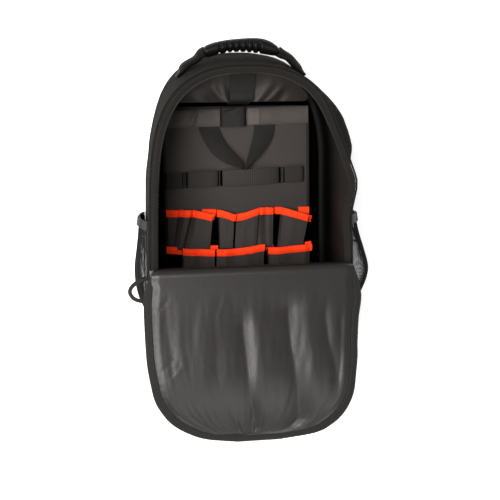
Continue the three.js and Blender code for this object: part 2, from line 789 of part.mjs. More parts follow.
function handleWeb(side) {
  const end = GRIP_LENGTH / 2 + SEAT;
  const lean = ((HANDLE_WEB_WIDTH / 2) * (REAR_HEIGHT - FRONT_HEIGHT)) / BODY_DEPTH;
  const out = SEAT + HANDLE_WEB / 2 + lean;
  const points = [
    gripPoint(side * end),
    gripPoint(side * (end + 7)),
    archPoint(side, HANDLE_REACH - 9, GRIP_LEVEL, out + 6),
    archPoint(side, HANDLE_REACH, GRIP_LEVEL, out),
    archPoint(side, HANDLE_REACH + 12, GRIP_LEVEL, out),
  ];
  return strap(points, vector(0, 0, 1), HANDLE_WEB_WIDTH, HANDLE_WEB, 10);
}

function toolPanel() {
  return pad(PANEL_HALF, PANEL_BOTTOM, PANEL_TOP, PANEL_RADIUS, PANEL_PAD);
}

// The height of the top wall's inner face at a distance from the middle and a level.
function ceiling(x, level) {
  return archPoint(1, Math.max(Math.abs(x), 1), level, -WALL).y - SEAT;
}

function curtainPoint(side, down, lift) {
  const half = CURTAIN_HALF * readRows(CURTAIN_ROWS, "down", down, "half");
  const x = side * half;
  const fall = readRows(CURTAIN_ROWS, "down", down, "fall");
  let fold = 0;
  for (const row of CURTAIN_FOLDS) {
    fold += row.height * bell((side - mix(row.top, row.low, down)) / row.width);
  }
  const y = mix(ceiling(x, CURTAIN_TOP_LEVEL + 2 * CURTAIN), CURTAIN_LOW_UP, down);
  const z = mix(CURTAIN_TOP_LEVEL, CURTAIN_LOW_LEVEL, fall);
  return vector(x, y, z + lift + fold * CURTAIN * smooth(down));
}

function upperLining() {
  const point = (u, v) => curtainPoint(2 * u - 1, v, 0);
  return sheet(point, 26, 6, -CURTAIN);
}

// The strap runs over the hanging lining and down to the tool panel's top edge.
function centreStrap() {
  const lift = CURTAIN_STRAP_LIFT;
  const side = CENTRE_STRAP_SIDE / CURTAIN_HALF;
  const points = [];
  for (const down of [0, 0.25, 0.5, 0.75, 1]) {
    const p = curtainPoint(side, down, 0);
    const fall = readRows(CURTAIN_ROWS, "down", down, "fall");
    const z = mix(CURTAIN_TOP_LEVEL, CURTAIN_LOW_LEVEL, fall) + lift;
    const edge = CENTRE_STRAP_SIDE + CENTRE_STRAP_WIDTH / 2;
    points.push(vector(CENTRE_STRAP_SIDE, Math.min(p.y, ceiling(edge, z + CENTRE_STRAP)), z));
  }
  const seat = PANEL_TOP + GAP + CENTRE_STRAP / 2;
  points.push(vector(CENTRE_STRAP_SIDE, seat + 1, mix(PANEL_FACE, CURTAIN_LOW_LEVEL, 0.4)));
  points.push(vector(CENTRE_STRAP_SIDE, seat, PANEL_FACE - CENTRE_STRAP));
  return strap(points, vector(1, 0, 0), CENTRE_STRAP_WIDTH, CENTRE_STRAP, 18);
}

const BAND_TOP = PANEL_TOP - 3;
const BAND_LOW = BAND_TOP - BAND_HEIGHT;

function panelBand() {
  const point = (u, v) => {
    const x = mix(-BAND_HALF, BAND_HALF, u);
    const z = PANEL_FACE + GAP + BAND_BULGE * Math.sin(Math.PI * v);
    return vector(x, mix(BAND_LOW, BAND_TOP, v) + BAND_SLOPE * x, z);
  };
  return sheet(point, 6, 4, BAND);
}

function bandKeeper() {
  const seat = PANEL_FACE + GAP + BAND_BULGE + BAND + SEAT;
  const middle = mix(BAND_LOW, BAND_TOP, 0.5);
  const place = (share, rise) => {
    const x = KEEPER_SIDE + share * KEEPER_WIDTH;
    return vector(x, middle + BAND_SLOPE * x, seat + rise * KEEPER_RISE);
  };
  const points = [
    place(-0.5, 0),
    place(-0.42, 0.7),
    place(-0.2, 1),
    place(0.2, 1),
    place(0.42, 0.7),
    place(0.5, 0),
  ];
  return strap(points, vector(0, 1, 0), BAND_HEIGHT + 2, KEEPER, 16);
}

// The webbing handle: two legs that run down from the band and meet at a point.
function handleLeg(side) {
  const point = (u, v) => {
    const outer = readRows(HANDLE_ROWS, "down", u, "outer");
    const inner = readRows(HANDLE_ROWS, "down", u, "inner");
    const rise = HANDLE_RISE * readRows(HANDLE_ROWS, "down", u, "rise");
    const x = side * HANDLE_SPREAD * mix(inner, outer, v);
    const start = BAND_LOW + BAND_SLOPE * x - GAP - SEAT;
    return vector(x, mix(start, HANDLE_TIP_UP, u), PANEL_FACE + GAP + rise);
  };
  return sheet(point, 8, 1, side * WEBBING);
}

function panelHandle() {
  return geometryOf(solid(handleLeg(1)).add(solid(handleLeg(-1))));
}

function toolWebbing() {
  const places = [];
  const loopSteps = 6;
  for (const loop of WEBBING_LOOPS) {
    for (let i = 0; i <= loopSteps; i++) {
      const t = i / loopSteps;
      places.push({
        x: mix(loop.from, loop.to, t) * PANEL_HALF,
        rise: loop.bulge * WEBBING_WIDTH * Math.sin(Math.PI * t),
      });
    }
  }
  const steps = places.length - 1;
  const point = (u, v) => {
    const place = places[Math.round(u * steps)];
    const y = WEBBING_UP + WEBBING_SLOPE * place.x + (v - 0.5) * WEBBING_WIDTH;
    return vector(place.x, y, PANEL_FACE + GAP + place.rise);
  };
  return sheet(point, steps, 1, WEBBING);
}

// A row of tool pockets: places across it, each with the mouth's height and its fullness.
const POCKET_STEPS = 6;

function pocketPlaces(pockets, mouth) {
  const places = [];
  pockets.forEach((pocket, n) => {
    for (let i = n === 0 ? 0 : 1; i <= POCKET_STEPS; i++) {
      const t = i / POCKET_STEPS;
      const next = pockets[n + 1];
      let lift = mix(pocket.liftFrom, pocket.liftTo, t);
      if (i === POCKET_STEPS && next) lift = (pocket.liftTo + next.liftFrom) / 2;
      places.push({
        x: mix(pocket.from, pocket.to, t) * PANEL_HALF,
        top: mouth + lift * PANEL_HALF,
        full: pocket.full * Math.pow(Math.sin(Math.PI * t), 0.7),
      });
    }
  });
  return places;
}

function pocketSurface(place, bottom, v) {
  const share = 0.3 + 0.7 * v;
  const rise = POCKET_FULLNESS * Math.max(place.full, 0) * (v > 0 ? share : 0);
  return vector(place.x, mix(bottom, place.top, v), PANEL_FACE + GAP + rise);
}

function pocketRow(pockets, mouth, bottom) {
  const places = pocketPlaces(pockets, mouth);
  const steps = places.length - 1;
  const point = (u, v) => pocketSurface(places[Math.round(u * steps)], bottom, v);
  return sheet(point, steps, 4, POCKET_CLOTH);
}

function pocketBinding(pockets, mouth, bottom) {
  const places = pocketPlaces(pockets, mouth);
  const steps = places.length - 1;
  const point = (u, v) => {
    const place = places[Math.round(u * steps)];
    const low = 1 - BINDING_HEIGHT / (place.top - bottom);
    const p = pocketSurface(place, bottom, mix(low, 1, v));
    p.z += POCKET_CLOTH + BINDING_CLEAR;
    return p;
  };
  return sheet(point, steps, 1, BINDING);
}

// Straps under the back.
function shoulderStrap(side) {
  const point = (u, v) => {
    const spread = mix(STRAP_SIDE - STRAP_TOE, STRAP_SIDE + STRAP_TOE, smooth(v));
    const half = (STRAP_WIDTH / 2) * mix(1, 0.78, v);
    return vector(side * spread + (2 * u - 1) * half, mix(STRAP_TOP, STRAP_LOW, v), 0);
  };
  return sheet(point, 2, 10, -STRAP_PAD);
}

function lowWebbing(side) {
  const start = STRAP_LOW - GAP - ADJUSTER_LENGTH - GAP;
  const seat = BACK_LEVEL - SEAT - LOW_WEB / 2;
  const x = STRAP_SIDE + STRAP_TOE;
  const points = [
    vector(side * x, start, ADJUSTER / 2),
    vector(side * (x + 6), start - 16, ADJUSTER / 2),
    vector(side * (x + 18), start - 28, mix(ADJUSTER / 2, seat, 0.5)),
    vector(side * (x + 34), start - 36, seat),
    vector(side * (x + 48), start - 42, seat),
  ];
  const direction = vector(side * 0.45, 0.9, 0).normalize();
  const across = (u) => vector(1, 0, 0).multiplyScalar(side).lerp(direction, smooth(Math.min(1, 2.5 * u)));
  return strap(points, (u) => across(u).normalize(), LOW_WEB_WIDTH, LOW_WEB, 12);
}

const bag = new THREE.Group();

// Adds a piece to the bag: its name, shape, colour, roughness and place.
function addPiece(name, geometry, finish, place = vector(0, 0, 0)) {
  const material = new THREE.MeshStandardMaterial({ metalness: 0, ...finish });
  const mesh = new THREE.Mesh(geometry, material);
  mesh.name = name;
  mesh.position.copy(place);
  bag.add(mesh);
}

const CANVAS = { color: 0x3a3834, roughness: 0.85 };
const LINING_CLOTH = { color: 0x47443f, roughness: 0.5 };
const PANEL_CLOTH = { color: 0x3b3835, roughness: 0.8 };
const BLACK_WEBBING = { color: 0x1c1b1a, roughness: 0.8 };
const TAPE_BLACK = { color: 0x2b2927, roughness: 0.8 };
const ORANGE_BINDING = { color: 0xfa461e, roughness: 0.6 };
const NET_GREY = { color: 0x6e6c6a, roughness: 0.7 };
const RUBBER = { color: 0x1e1e1f, roughness: 0.6 };
const DARK_METAL = { color: 0x3c3c3e, roughness: 0.4, metalness: 0.8 };
const BACK_NET = { color: 0x262524, roughness: 0.9 };

addPiece("body_gusset", bodyGusset(), CANVAS);
addPiece("back_panel", backPanel(), CANVAS);
addPiece("front_face", frontFace(), CANVAS);
addPiece("rim_piping", rimPiping(), TAPE_BLACK);
addPiece("rim_zip_tape", rimZipTape(), TAPE_BLACK);
addPiece("flap_panel", flapPanel(), CANVAS);
addPiece("flap_lining", flapLining(), LINING_CLOTH);
addPiece("flap_border", flapBorder(), TAPE_BLACK);
for (const pocket of NET_SIDES) {
  addPiece("mesh_pocket_" + pocket.name, meshPocket(pocket), NET_GREY);
  addPiece("mesh_hem_" + pocket.name, meshHem(pocket), BLACK_WEBBING);
}
addPiece("side_loop", sideLoop(), BLACK_WEBBING);
const sliderLevel = frontLevel(HINGE_UP) + GAP + FACE + TAPE + 2 * SEAT;
const sliderPlace = vector(-FRONT_HALF + SLIDER_IN, HINGE_UP + SLIDER_UP, sliderLevel);
addPiece("zip_slider", zipSlider(), DARK_METAL, sliderPlace);
addPiece("handle_grip", handleGrip(), RUBBER);
addPiece("handle_web_left", handleWeb(-1), BLACK_WEBBING);
addPiece("handle_web_right", handleWeb(1), BLACK_WEBBING);
addPiece("tool_panel", toolPanel(), PANEL_CLOTH, vector(0, 0, PANEL_LEVEL));
addPiece("upper_lining", upperLining(), LINING_CLOTH);
addPiece("centre_strap", centreStrap(), BLACK_WEBBING);
addPiece("panel_band", panelBand(), PANEL_CLOTH);
addPiece("band_keeper", bandKeeper(), BLACK_WEBBING);
addPiece("panel_handle", panelHandle(), BLACK_WEBBING);
addPiece("tool_webbing", toolWebbing(), BLACK_WEBBING);
const rows = [
  { name: "upper", pockets: UPPER_POCKETS, mouth: UPPER_ROW_MOUTH, bottom: UPPER_ROW_BOTTOM },
  { name: "lower", pockets: LOWER_POCKETS, mouth: LOWER_ROW_MOUTH, bottom: LOWER_ROW_BOTTOM },
];
for (const row of rows) {
  addPiece("pocket_row_" + row.name, pocketRow(row.pockets, row.mouth, row.bottom), PANEL_CLOTH);
  addPiece("binding_" + row.name, pocketBinding(row.pockets, row.mouth, row.bottom), ORANGE_BINDING);
}
for (const { name, side } of NET_SIDES) {
  const backPad = pad(BACK_PAD_HALF, BACK_PAD_BOTTOM, BACK_PAD_TOP, BACK_PAD_RADIUS, BACK_PAD);
  addPiece("back_pad_" + name, backPad, BACK_NET, vector(side * BACK_PAD_SIDE, 0, PAD_LEVEL));
  addPiece("shoulder_strap_" + name, shoulderStrap(side), BACK_NET);
  const adjuster = pad(ADJUSTER_WIDTH / 2, 0, ADJUSTER_LENGTH, ADJUSTER_RADIUS, ADJUSTER);
  const adjusterPlace = vector(side * (STRAP_SIDE + STRAP_TOE), STRAP_LOW - GAP - ADJUSTER_LENGTH, GAP);
  addPiece("strap_adjuster_" + name, adjuster, RUBBER, adjusterPlace);
  addPiece("strap_webbing_" + name, lowWebbing(side), BLACK_WEBBING);
}
const lumbar = pad(LUMBAR_HALF, LUMBAR_BOTTOM, LUMBAR_TOP, BACK_PAD_RADIUS, BACK_PAD);
addPiece("lumbar_pad", lumbar, BACK_NET, vector(0, 0, PAD_LEVEL));

// The frame's origin is on the floor, under the middle of the whole bag.
const extent = new THREE.Box3().setFromObject(bag, true);
const middle = extent.getCenter(new THREE.Vector3());
bag.position.set(-middle.x, -middle.y, -extent.min.z);

export default bag;
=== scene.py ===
import math
from bisect import bisect_right

import bmesh
import bpy
from mathutils import Matrix, Vector, noise


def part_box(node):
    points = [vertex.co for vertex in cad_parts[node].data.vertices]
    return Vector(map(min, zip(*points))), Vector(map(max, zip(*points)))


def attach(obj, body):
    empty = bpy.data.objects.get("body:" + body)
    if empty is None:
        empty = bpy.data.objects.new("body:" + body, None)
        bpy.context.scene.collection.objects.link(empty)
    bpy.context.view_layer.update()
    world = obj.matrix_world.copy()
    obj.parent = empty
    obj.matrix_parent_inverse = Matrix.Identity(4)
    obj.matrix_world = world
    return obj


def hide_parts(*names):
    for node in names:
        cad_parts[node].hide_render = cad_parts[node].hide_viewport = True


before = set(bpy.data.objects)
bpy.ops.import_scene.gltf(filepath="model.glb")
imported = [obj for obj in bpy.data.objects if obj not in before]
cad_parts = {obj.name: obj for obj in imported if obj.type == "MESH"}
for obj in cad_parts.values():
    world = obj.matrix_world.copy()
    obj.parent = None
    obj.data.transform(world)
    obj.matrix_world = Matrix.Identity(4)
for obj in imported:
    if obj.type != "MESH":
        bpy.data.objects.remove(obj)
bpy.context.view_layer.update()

bl_info = {
    "name": "Tool backpack",
    "version": (1, 0, 0),
    "blender": (4, 5, 0),
    "location": "View3D > Sidebar > Backpack",
    "description": "Cloth, zips, pockets, handle and padding of a tool backpack that lies open on its back",
    "category": "Object",
}

# Lengths in this file are millimetres over the middle of the bag's foot, with X to its right,
# Y towards its top handle and Z up out of its opening. A piece is moved to the frame as it is made.
MM = 0.001
GAP = 0.3
SEAT = 0.7
OPENING_LENGTH = 900
FLAP_EDGE_LENGTH = 930
PUFF_VOXEL = 0.005
PUFF_PRESSURE = 4
PUFF_FRAMES = 20
UP = Vector((0, 0, 1))
STITCH_GAP = 1.35

# The body's outline, from the front and from the back.
FRONT_HALF = 155.0
REAR_HALF = 156.0
FRONT_HEIGHT = 440.0
REAR_HEIGHT = 468.0
ARCH_HEIGHT = 190.0
ARCH_POWER = 2.5
FOOT_RADIUS = 56.0
BACK_LEVEL = 24.0
BODY_DEPTH = 175.0
REAR_ROUND = 14.0
WALL = 3.2

# The front face, its opening and the zip tape round it.
FACE = 2.4
RIM_WIDTH = 9.0
HINGE_UP = 125.0
TAPE_MARGIN = 1.5
COIL_INSET = 10.2

# The folded front panel.
FLAP_LENGTH = 295.0
FLAP_HALF = 167.0
BORDER_WIDTH = 11.0
BORDER_TAPER = 0.2
BORDER_RAMP = 0.06
HINGE_DRAW = 1.45
HINGE_RAMP = 0.77
BORDER = 2.2

# Side pockets and side loop.
POCKET_BOTTOM = 56.0
POCKET_TOP = 206.0
POCKET_REAR = 38.0
POCKET_FRONT = 178.0
HEM_HEIGHT = 13.0
LOOP_REACH = 31.0
LOOP_TOP = 122.0
LOOP_BOTTOM = 86.0
LOOP_LEVEL = 186.0

# The tool panel and what it carries.
PANEL_HALF = 123.0
PANEL_TOP = 378.0
PANEL_BOTTOM = 16.0
PANEL_PAD = 11.0
PANEL_RADIUS = 22.0
PANEL_FACE = 38.5
BAND_HEIGHT = 29.0
BAND_SLOPE = 0.02
BAND_HALF = 121.0
BAND_LOW = PANEL_TOP - 3 - BAND_HEIGHT
BAND_TOP = PANEL_TOP - 3
KEEPER_WIDTH = 44.0
KEEPER_SIDE = -6.0
KEEPER_RISE = 8.0
WEBBING = 1.8
WEBBING_WIDTH = 26.0
WEBBING_UP = 260.0
WEBBING_SLOPE = 0.03
HANDLE_TIP_UP = 274.0
HANDLE_RISE = 9.0
BINDING_HEIGHT = 12.0

# The lining and the strap that hang from the top wall.
CURTAIN_HALF = 113.0
CURTAIN = 1.4
CURTAIN_TOP_LEVEL = 122.0
CURTAIN_LOW_LEVEL = 72.0
CURTAIN_LOW_UP = 385.0
CENTRE_STRAP_WIDTH = 38.0
CENTRE_STRAP_SIDE = 3.0
CURTAIN_STRAP_LIFT = 9.0

# The top handle.
GRIP_DEPTH = 24.0
GRIP_LEVEL = 92.0
HANDLE_REACH = 91.0


def table(columns, *rows):
    """The rows of a table, each with its columns' names."""
    return [dict(zip(columns.split(), row)) for row in rows]


DEPTH_ROWS = table(
    "up depth",
    (0, 1),
    (0.5, 1),
    (0.75, 0.95),
    (1, 0.85),
)

# Where the side wall leaves its plain outline, in shares as in the model.
WALL_DENTS = table(
    "side up depth reach spread push",
    (1, 0.8, 1, 0.32, 0.2, -0.077),
    (1, 0.8, 0.75, 0.32, 0.2, 0.12),
    (1, 0.59, 1, 0.18, 0.35, 0.055),
    (1, 0.46, 0.9, 0.12, 0.3, -0.012),
    (1, 0.7, 0.8, 0.16, 0.13, 0.055),
    (-1, 0.68, 1, 0.6, 0.6, -0.028),
    (-1, 0.8, 0.1, 0.5, 0.6, -0.06),
    (-1, 0.3, 0.6, 0.5, 0.3, 0.02),
    (1, 0.2, 0.6, 0.3, 0.5, 0.02),
)

# The folded panel's middle line and half widths, as shares of its length and half width.
FLAP_ROWS = table(
    "along rise left right",
    (0, 0.045, 0.945, 0.945),
    (0.045, 0.041, 0.985, 0.975),
    (0.14, 0.03, 1.005, 1.01),
    (0.26, 0.022, 1.005, 0.99),
    (0.4, 0.012, 0.998, 0.985),
    (0.48, 0.003, 0.988, 0.99),
    (0.58, -0.012, 0.962, 0.983),
    (0.68, -0.035, 0.925, 0.976),
    (0.76, -0.06, 0.86, 0.945),
    (0.84, -0.09, 0.765, 0.885),
    (0.91, -0.119, 0.62, 0.785),
    (0.965, -0.142, 0.43, 0.63),
    (1, -0.159, 0.13, 0.28),
)

# Folds in the flap's lining. Each path runs through places given as the share of the half width
# and of the length; width and height are millimetres, and a sharp one is a crease that fades away
# from its bottom line.
LINING_FOLDS = table(
    "path width height sharp",
    (((-0.11, 0.32), (-0.07, 0.55), (-0.03, 0.72), (0.06, 0.95)), 26, -4.4, True),
    (((0.34, 0.24), (0.383, 0.43), (0.44, 0.6), (0.5, 0.75), (0.6, 0.9)), 34, -6, True),
    (((0.72, 0.26), (0.78, 0.42), (0.86, 0.58)), 18, -2.4, True),
    (((0.89, 0.3), (0.89, 0.7)), 10, -1.4, True),
    (((-0.4, 0.5), (-0.36, 0.7), (-0.4, 0.98)), 22, -0.9, True),
    (((-0.86, 0.2), (-0.84, 0.62)), 34, -1.4, True),
    (((-0.3, 0.14), (-0.34, 0.22)), 5, 0.5, False),
    (((-0.84, 0.12), (-0.96, 0.2)), 4, -0.5, False),
    (((-0.8, 0.46), (-0.94, 0.52)), 5, -0.4, False),
    (((-0.72, 0.5), (-0.86, 0.58)), 5, 0.4, False),
    (((-0.24, 0.91), (-0.26, 1)), 4, 0.9, False),
    (((0.02, 0.93), (0.04, 1)), 3, 0.9, False),
    (((0.13, 0.92), (0.16, 1)), 3, -0.7, False),
)

NET_ROWS = table(
    "up out",
    (0, 0.03),
    (0.07, 0.5),
    (0.2, 0.82),
    (0.38, 1),
    (0.6, 0.86),
    (0.8, 0.66),
    (1, 0.54),
)
NET_SIDES = {"left": (-1, 19.0), "right": (1, 47.0)}

# The ridges and dips of each row of tool pockets: where they stand at the mouth and at the
# bottom, in millimetres from the bag's middle, and how far they rise off the panel. After a gap's
# ridge, up to the next one, the row takes a near-black cloth: painted shade for the deep gaps.
UPPER_CLOTH = table(
    "top low rise gap",
    (-121.5, -121.5, 0.6, False),
    (-118.5, -119, 6, False),
    (-101, -112, 9, False),
    (-96, -108, 1, False),
    (-89, -101.5, 9, False),
    (-79.5, -97, 10, False),
    (-75, -92, 0.8, False),
    (-68, -83.5, 9.5, False),
    (-56, -64, 11.5, False),
    (-43.5, -50, 13, False),
    (-42.3, -48.6, 0.8, True),
    (-33.8, -33, 0.6, False),
    (-32.5, -31.8, 8.5, False),
    (-20, -22, 11, False),
    (-7.5, -10.7, 13, False),
    (-6.2, -9.6, 1, True),
    (-3, -6.6, 1.5, False),
    (9, 6, 9.5, False),
    (28, 24, 12, False),
    (34.2, 29.5, 11, False),
    (36.3, 31.5, 6.5, False),
    (39.5, 35.5, 11.5, False),
    (45.6, 46, 8, False),
    (52, 52, 11, False),
    (59, 58, 9.5, False),
    (62, 59.8, 1, True),
    (73.5, 66.5, 1, False),
    (77, 69.5, 9.5, False),
    (96, 89, 13, False),
    (119.5, 109.5, 13.5, False),
    (121, 111.2, 1.2, True),
    (122.6, 122.6, 0.6, False),
)
LOWER_CLOTH = table(
    "top low rise gap",
    (-122, -122, 0.6, True),
    (-96.5, -99, 0.8, False),
    (-94.2, -96.5, 10, False),
    (-80, -82, 12.5, False),
    (-66, -60, 9.5, False),
    (-52, -50, 12, False),
    (-42.6, -43, 13, False),
    (-41.8, -42.2, 1, True),
    (-39.2, -39.6, 1, False),
    (-38.4, -38.6, 10.5, False),
    (-22, -26, 13, False),
    (-8, -2, 10, False),
    (12, 16, 14, False),
    (32, 28, 13, False),
    (42.5, 38.5, 12, False),
    (43.8, 39.8, 0.8, True),
    (49.6, 51.5, 0.8, False),
    (51, 53, 9.5, False),
    (68, 70, 12.5, False),
    (92, 95, 10.5, False),
    (112, 112, 13, False),
    (121.3, 119.5, 11, False),
    (122.6, 122, 0.8, False),
)
UPPER_MOUTH = table(
    "x top",
    (-121.5, 208.8),
    (-93, 207.9),
    (-77.7, 207.4),
    (-60, 204.2),
    (-43, 200.6),
    (-36.7, 206.8),
    (-20, 203.4),
    (-6.2, 198.6),
    (8, 200.4),
    (25, 205.6),
    (37, 208.6),
    (60, 208.3),
    (76.5, 207.1),
    (92, 202.8),
    (124.7, 192.6),
)
LOWER_MOUTH = table(
    "x top",
    (-122.4, 146.9),
    (-104, 145.2),
    (-94.4, 143.7),
    (-70, 142),
    (-41, 140.6),
    (-10, 140.4),
    (16, 143),
    (43, 146.2),
    (50, 140.8),
    (84, 141.6),
    (124.9, 144.4),
)
POCKET_ROWS = {
    "upper": {"cloth": UPPER_CLOTH, "mouth": UPPER_MOUTH, "bottom": 138.0},
    "lower": {"cloth": LOWER_CLOTH, "mouth": LOWER_MOUTH, "bottom": 30.0},
}

# Each length of binding along a row: its ends, and the ends of the cloth that it rides on.
# Where ground is given instead, it lies that far over the panel with its top at high and low.
BINDINGS = [
    {"name": "upper_1", "row": "upper", "from": -121.5, "to": -41.2, "on": (-118, -43.8)},
    {"name": "upper_2", "row": "upper", "from": -36.5, "to": -5.2, "on": (-32.3, -7.8)},
    {"name": "upper_3", "row": "upper", "from": -5.8, "to": 45.4, "on": (4, 45.4)},
    {"name": "upper_4", "row": "upper", "from": 45.9, "to": 124.7, "on": (45.9, 119.2)},
    {"name": "lower_1", "row": "lower", "from": -122.4, "to": -104.4, "ground": 5.2, "high": 146.9, "low": 145.4},
    {"name": "lower_2", "row": "lower", "from": -95.4, "to": -41.8, "on": (-94, -42.9)},
    {"name": "lower_3", "row": "lower", "from": -38.6, "to": 43.6, "on": (-38.2, 42.3)},
    {"name": "lower_4", "row": "lower", "from": 49.4, "to": 124.9, "on": (51.2, 121)},
    {"name": "tail_1", "ground": 1.2, "from": -60.7, "to": -37, "high": 207.8, "low": 207.2},
    {"name": "tail_2", "ground": 1.2, "from": 103.7, "to": 122.1, "high": 207.1, "low": 206.6},
    {"name": "tail_3", "ground": 1.8, "from": -104.2, "to": -95.6, "high": 144.6, "low": 143.6},
    {"name": "tail_4", "ground": 1.2, "from": -52.3, "to": -35.1, "high": 146.1, "low": 145.5},
    {"name": "tail_5", "ground": 1.2, "from": 44, "to": 59.7, "high": 147, "low": 144.8},
    {"name": "tail_6", "ground": 5, "from": 114, "to": 124.6, "high": 146.4, "low": 147.8},
]

# The panel handle's two legs, by the distances of their edges from the bag's middle.
HANDLE_ROWS = table(
    "down left_out left_in right_in right_out",
    (0, -64.4, -29.9, 29.5, 64.8),
    (0.22, -58.8, -24.8, 27.4, 62),
    (0.45, -50.8, -16.5, 22.2, 53),
    (0.66, -40, -4, 17.2, 39.5),
    (0.82, -24.5, 7, 13.6, 28),
    (0.94, -4.5, 11, 11.2, 19),
    (1, 8, 12.6, 10.4, 14.6),
)

# The grip's outline, seen from the front.
GRIP_ROWS = table(
    "x low top",
    (-59, 458.5, 472.5),
    (-50, 456.5, 476.6),
    (-38, 459.7, 480.2),
    (-20, 463.6, 483.4),
    (0, 464.4, 485.2),
    (20, 463.2, 486.2),
    (36, 461, 485),
    (48, 458.8, 481.4),
    (57, 457.8, 476),
    (65, 458.6, 469),
)

WEBBING_LOOPS = table(
    "from to bulge",
    (-0.985, -0.745, 0.24),
    (-0.7, -0.25, 0.3),
    (-0.24, 0.6, 0.34),
    (0.64, 0.92, 0.26),
)

CURTAIN_ROWS = table(
    "down fall half",
    (0, 0, 0.5),
    (0.2, 0.3, 0.76),
    (0.5, 0.62, 0.96),
    (0.8, 0.86, 1),
    (1, 1, 0.97),
)
CURTAIN_FOLDS = table(
    "top low width height",
    (-0.66, -0.22, 0.1, 7),
    (-0.36, -0.16, 0.05, 4),
    (-0.85, -0.55, 0.14, 4),
    (0.6, 0.27, 0.1, 8),
    (0.85, 0.42, 0.06, 4),
    (0.76, 0.6, 0.07, -3.5),
    (-0.5, -0.37, 0.06, -4),
)

# The bars of a strap's buckle: centre and size as shares of its width and height.
BUCKLE_BARS = ((0, 0.44, 1, 0.12), (0, -0.44, 1, 0.12), (0, 0.08, 1, 0.2), (0.44, 0, 0.12, 1), (-0.44, 0, 0.12, 1))

# The section of a folded binding: the drop from its top and how far it stands off the cloth.
BINDING_SECTION = (
    (-BINDING_HEIGHT, 0.9), (-BINDING_HEIGHT + 1.2, 1.6), (-6, 2.0), (-1.2, 2.1),
    (0.3, 1.3), (0.5, 0.2), (-0.6, -0.5), (-3, -0.8),
)
BINDING_SEAM = -8.4

# The softboxes, in metres in the frame.
SOFTBOXES = table(
    "name place target size",
    ("key", (-0.85, 0.3, 1.95), (0, 0, 0.1), (1.0, 1.0)),
    ("sheen", (-0.8, -1.1, 1.8), (0, -0.1, 0.15), (0.6, 0.6)),
    ("front", (0.35, -1.6, 1.25), (0, -0.1, 0.15), (0.9, 0.5)),
)
LIGHT_COLOUR = (1, 0.97, 0.94)

# The camera and what it looks at.
CAMERA_PLACE = (-211.8, 395.8, 1666.8)
CAMERA_TARGET = (-3.07, 161.2, 200)

# The grip's grooves, as distances from the middle of the bag.
GRIP_GROOVES = (-32.6, -20, -10.4, 0.3, 10.8, 20.5, 31)


def mix(a, b, t):
    return a + (b - a) * t


def smooth(t):
    t = min(max(t, 0.0), 1.0)
    return t * t * (3 - 2 * t)


def bell(t):
    return math.exp(-t * t)


class RowCurve:
    """A smooth curve through one named column of a table, read at a place along the table."""

    def __init__(self, rows, place, column):
        self.places = [row[place] for row in rows]
        self.values = [row[column] for row in rows]
        last = len(rows) - 1
        self.slopes = []
        for k in range(last + 1):
            before, after = max(k - 1, 0), min(k + 1, last)
            rise = self.values[after] - self.values[before]
            self.slopes.append(rise / (self.places[after] - self.places[before]))

    def __call__(self, place):
        places, values, slopes = self.places, self.values, self.slopes
        if place <= places[0]:
            return values[0]
        if place >= places[-1]:
            return values[-1]
        i = bisect_right(places, place) - 1
        span = places[i + 1] - places[i]
        t = (place - places[i]) / span
        bend = t * (1 - t) * span
        return mix(values[i], values[i + 1], smooth(t)) + bend * ((1 - t) * slopes[i] - t * slopes[i + 1])


BODY_DEPTHS = RowCurve(DEPTH_ROWS, "up", "depth")
FLAP_RISE = RowCurve(FLAP_ROWS, "along", "rise")
FLAP_SIDES = {-1: RowCurve(FLAP_ROWS, "along", "left"), 1: RowCurve(FLAP_ROWS, "along", "right")}
NET_OUT = RowCurve(NET_ROWS, "up", "out")
LEG_OUT = {name: RowCurve(HANDLE_ROWS, "down", name + "_out") for name in ("left", "right")}
LEG_IN = {name: RowCurve(HANDLE_ROWS, "down", name + "_in") for name in ("left", "right")}
GRIP_LOW = RowCurve(GRIP_ROWS, "x", "low")
GRIP_TOP = RowCurve(GRIP_ROWS, "x", "top")
MOUTHS = {name: RowCurve(row["mouth"], "x", "top") for name, row in POCKET_ROWS.items()}
CURTAIN_FALL = RowCurve(CURTAIN_ROWS, "down", "fall")
CURTAIN_SPAN = RowCurve(CURTAIN_ROWS, "down", "half")

# The frame's origin, found from where the tool panel stands in it.
PANEL_LOW, PANEL_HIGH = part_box("tool_panel")
SHIFT = Vector(((PANEL_LOW[0] + PANEL_HIGH[0]) / 2, PANEL_LOW[1] - PANEL_BOTTOM * MM, 0))


def place(point):
    return Vector(point) * MM + SHIFT


# ---- The bag's surfaces ----


def front_level(up):
    return BACK_LEVEL + BODY_DEPTH * BODY_DEPTHS(up / FRONT_HEIGHT)


def dent_at(side, up, depth):
    push = 0.0
    for row in WALL_DENTS:
        if row["side"] == side:
            across = (up - row["up"] * FRONT_HEIGHT) / (row["reach"] * FRONT_HALF)
            push += row["push"] * bell(across) * bell((depth - row["depth"]) / row["spread"])
    return push * FRONT_HALF


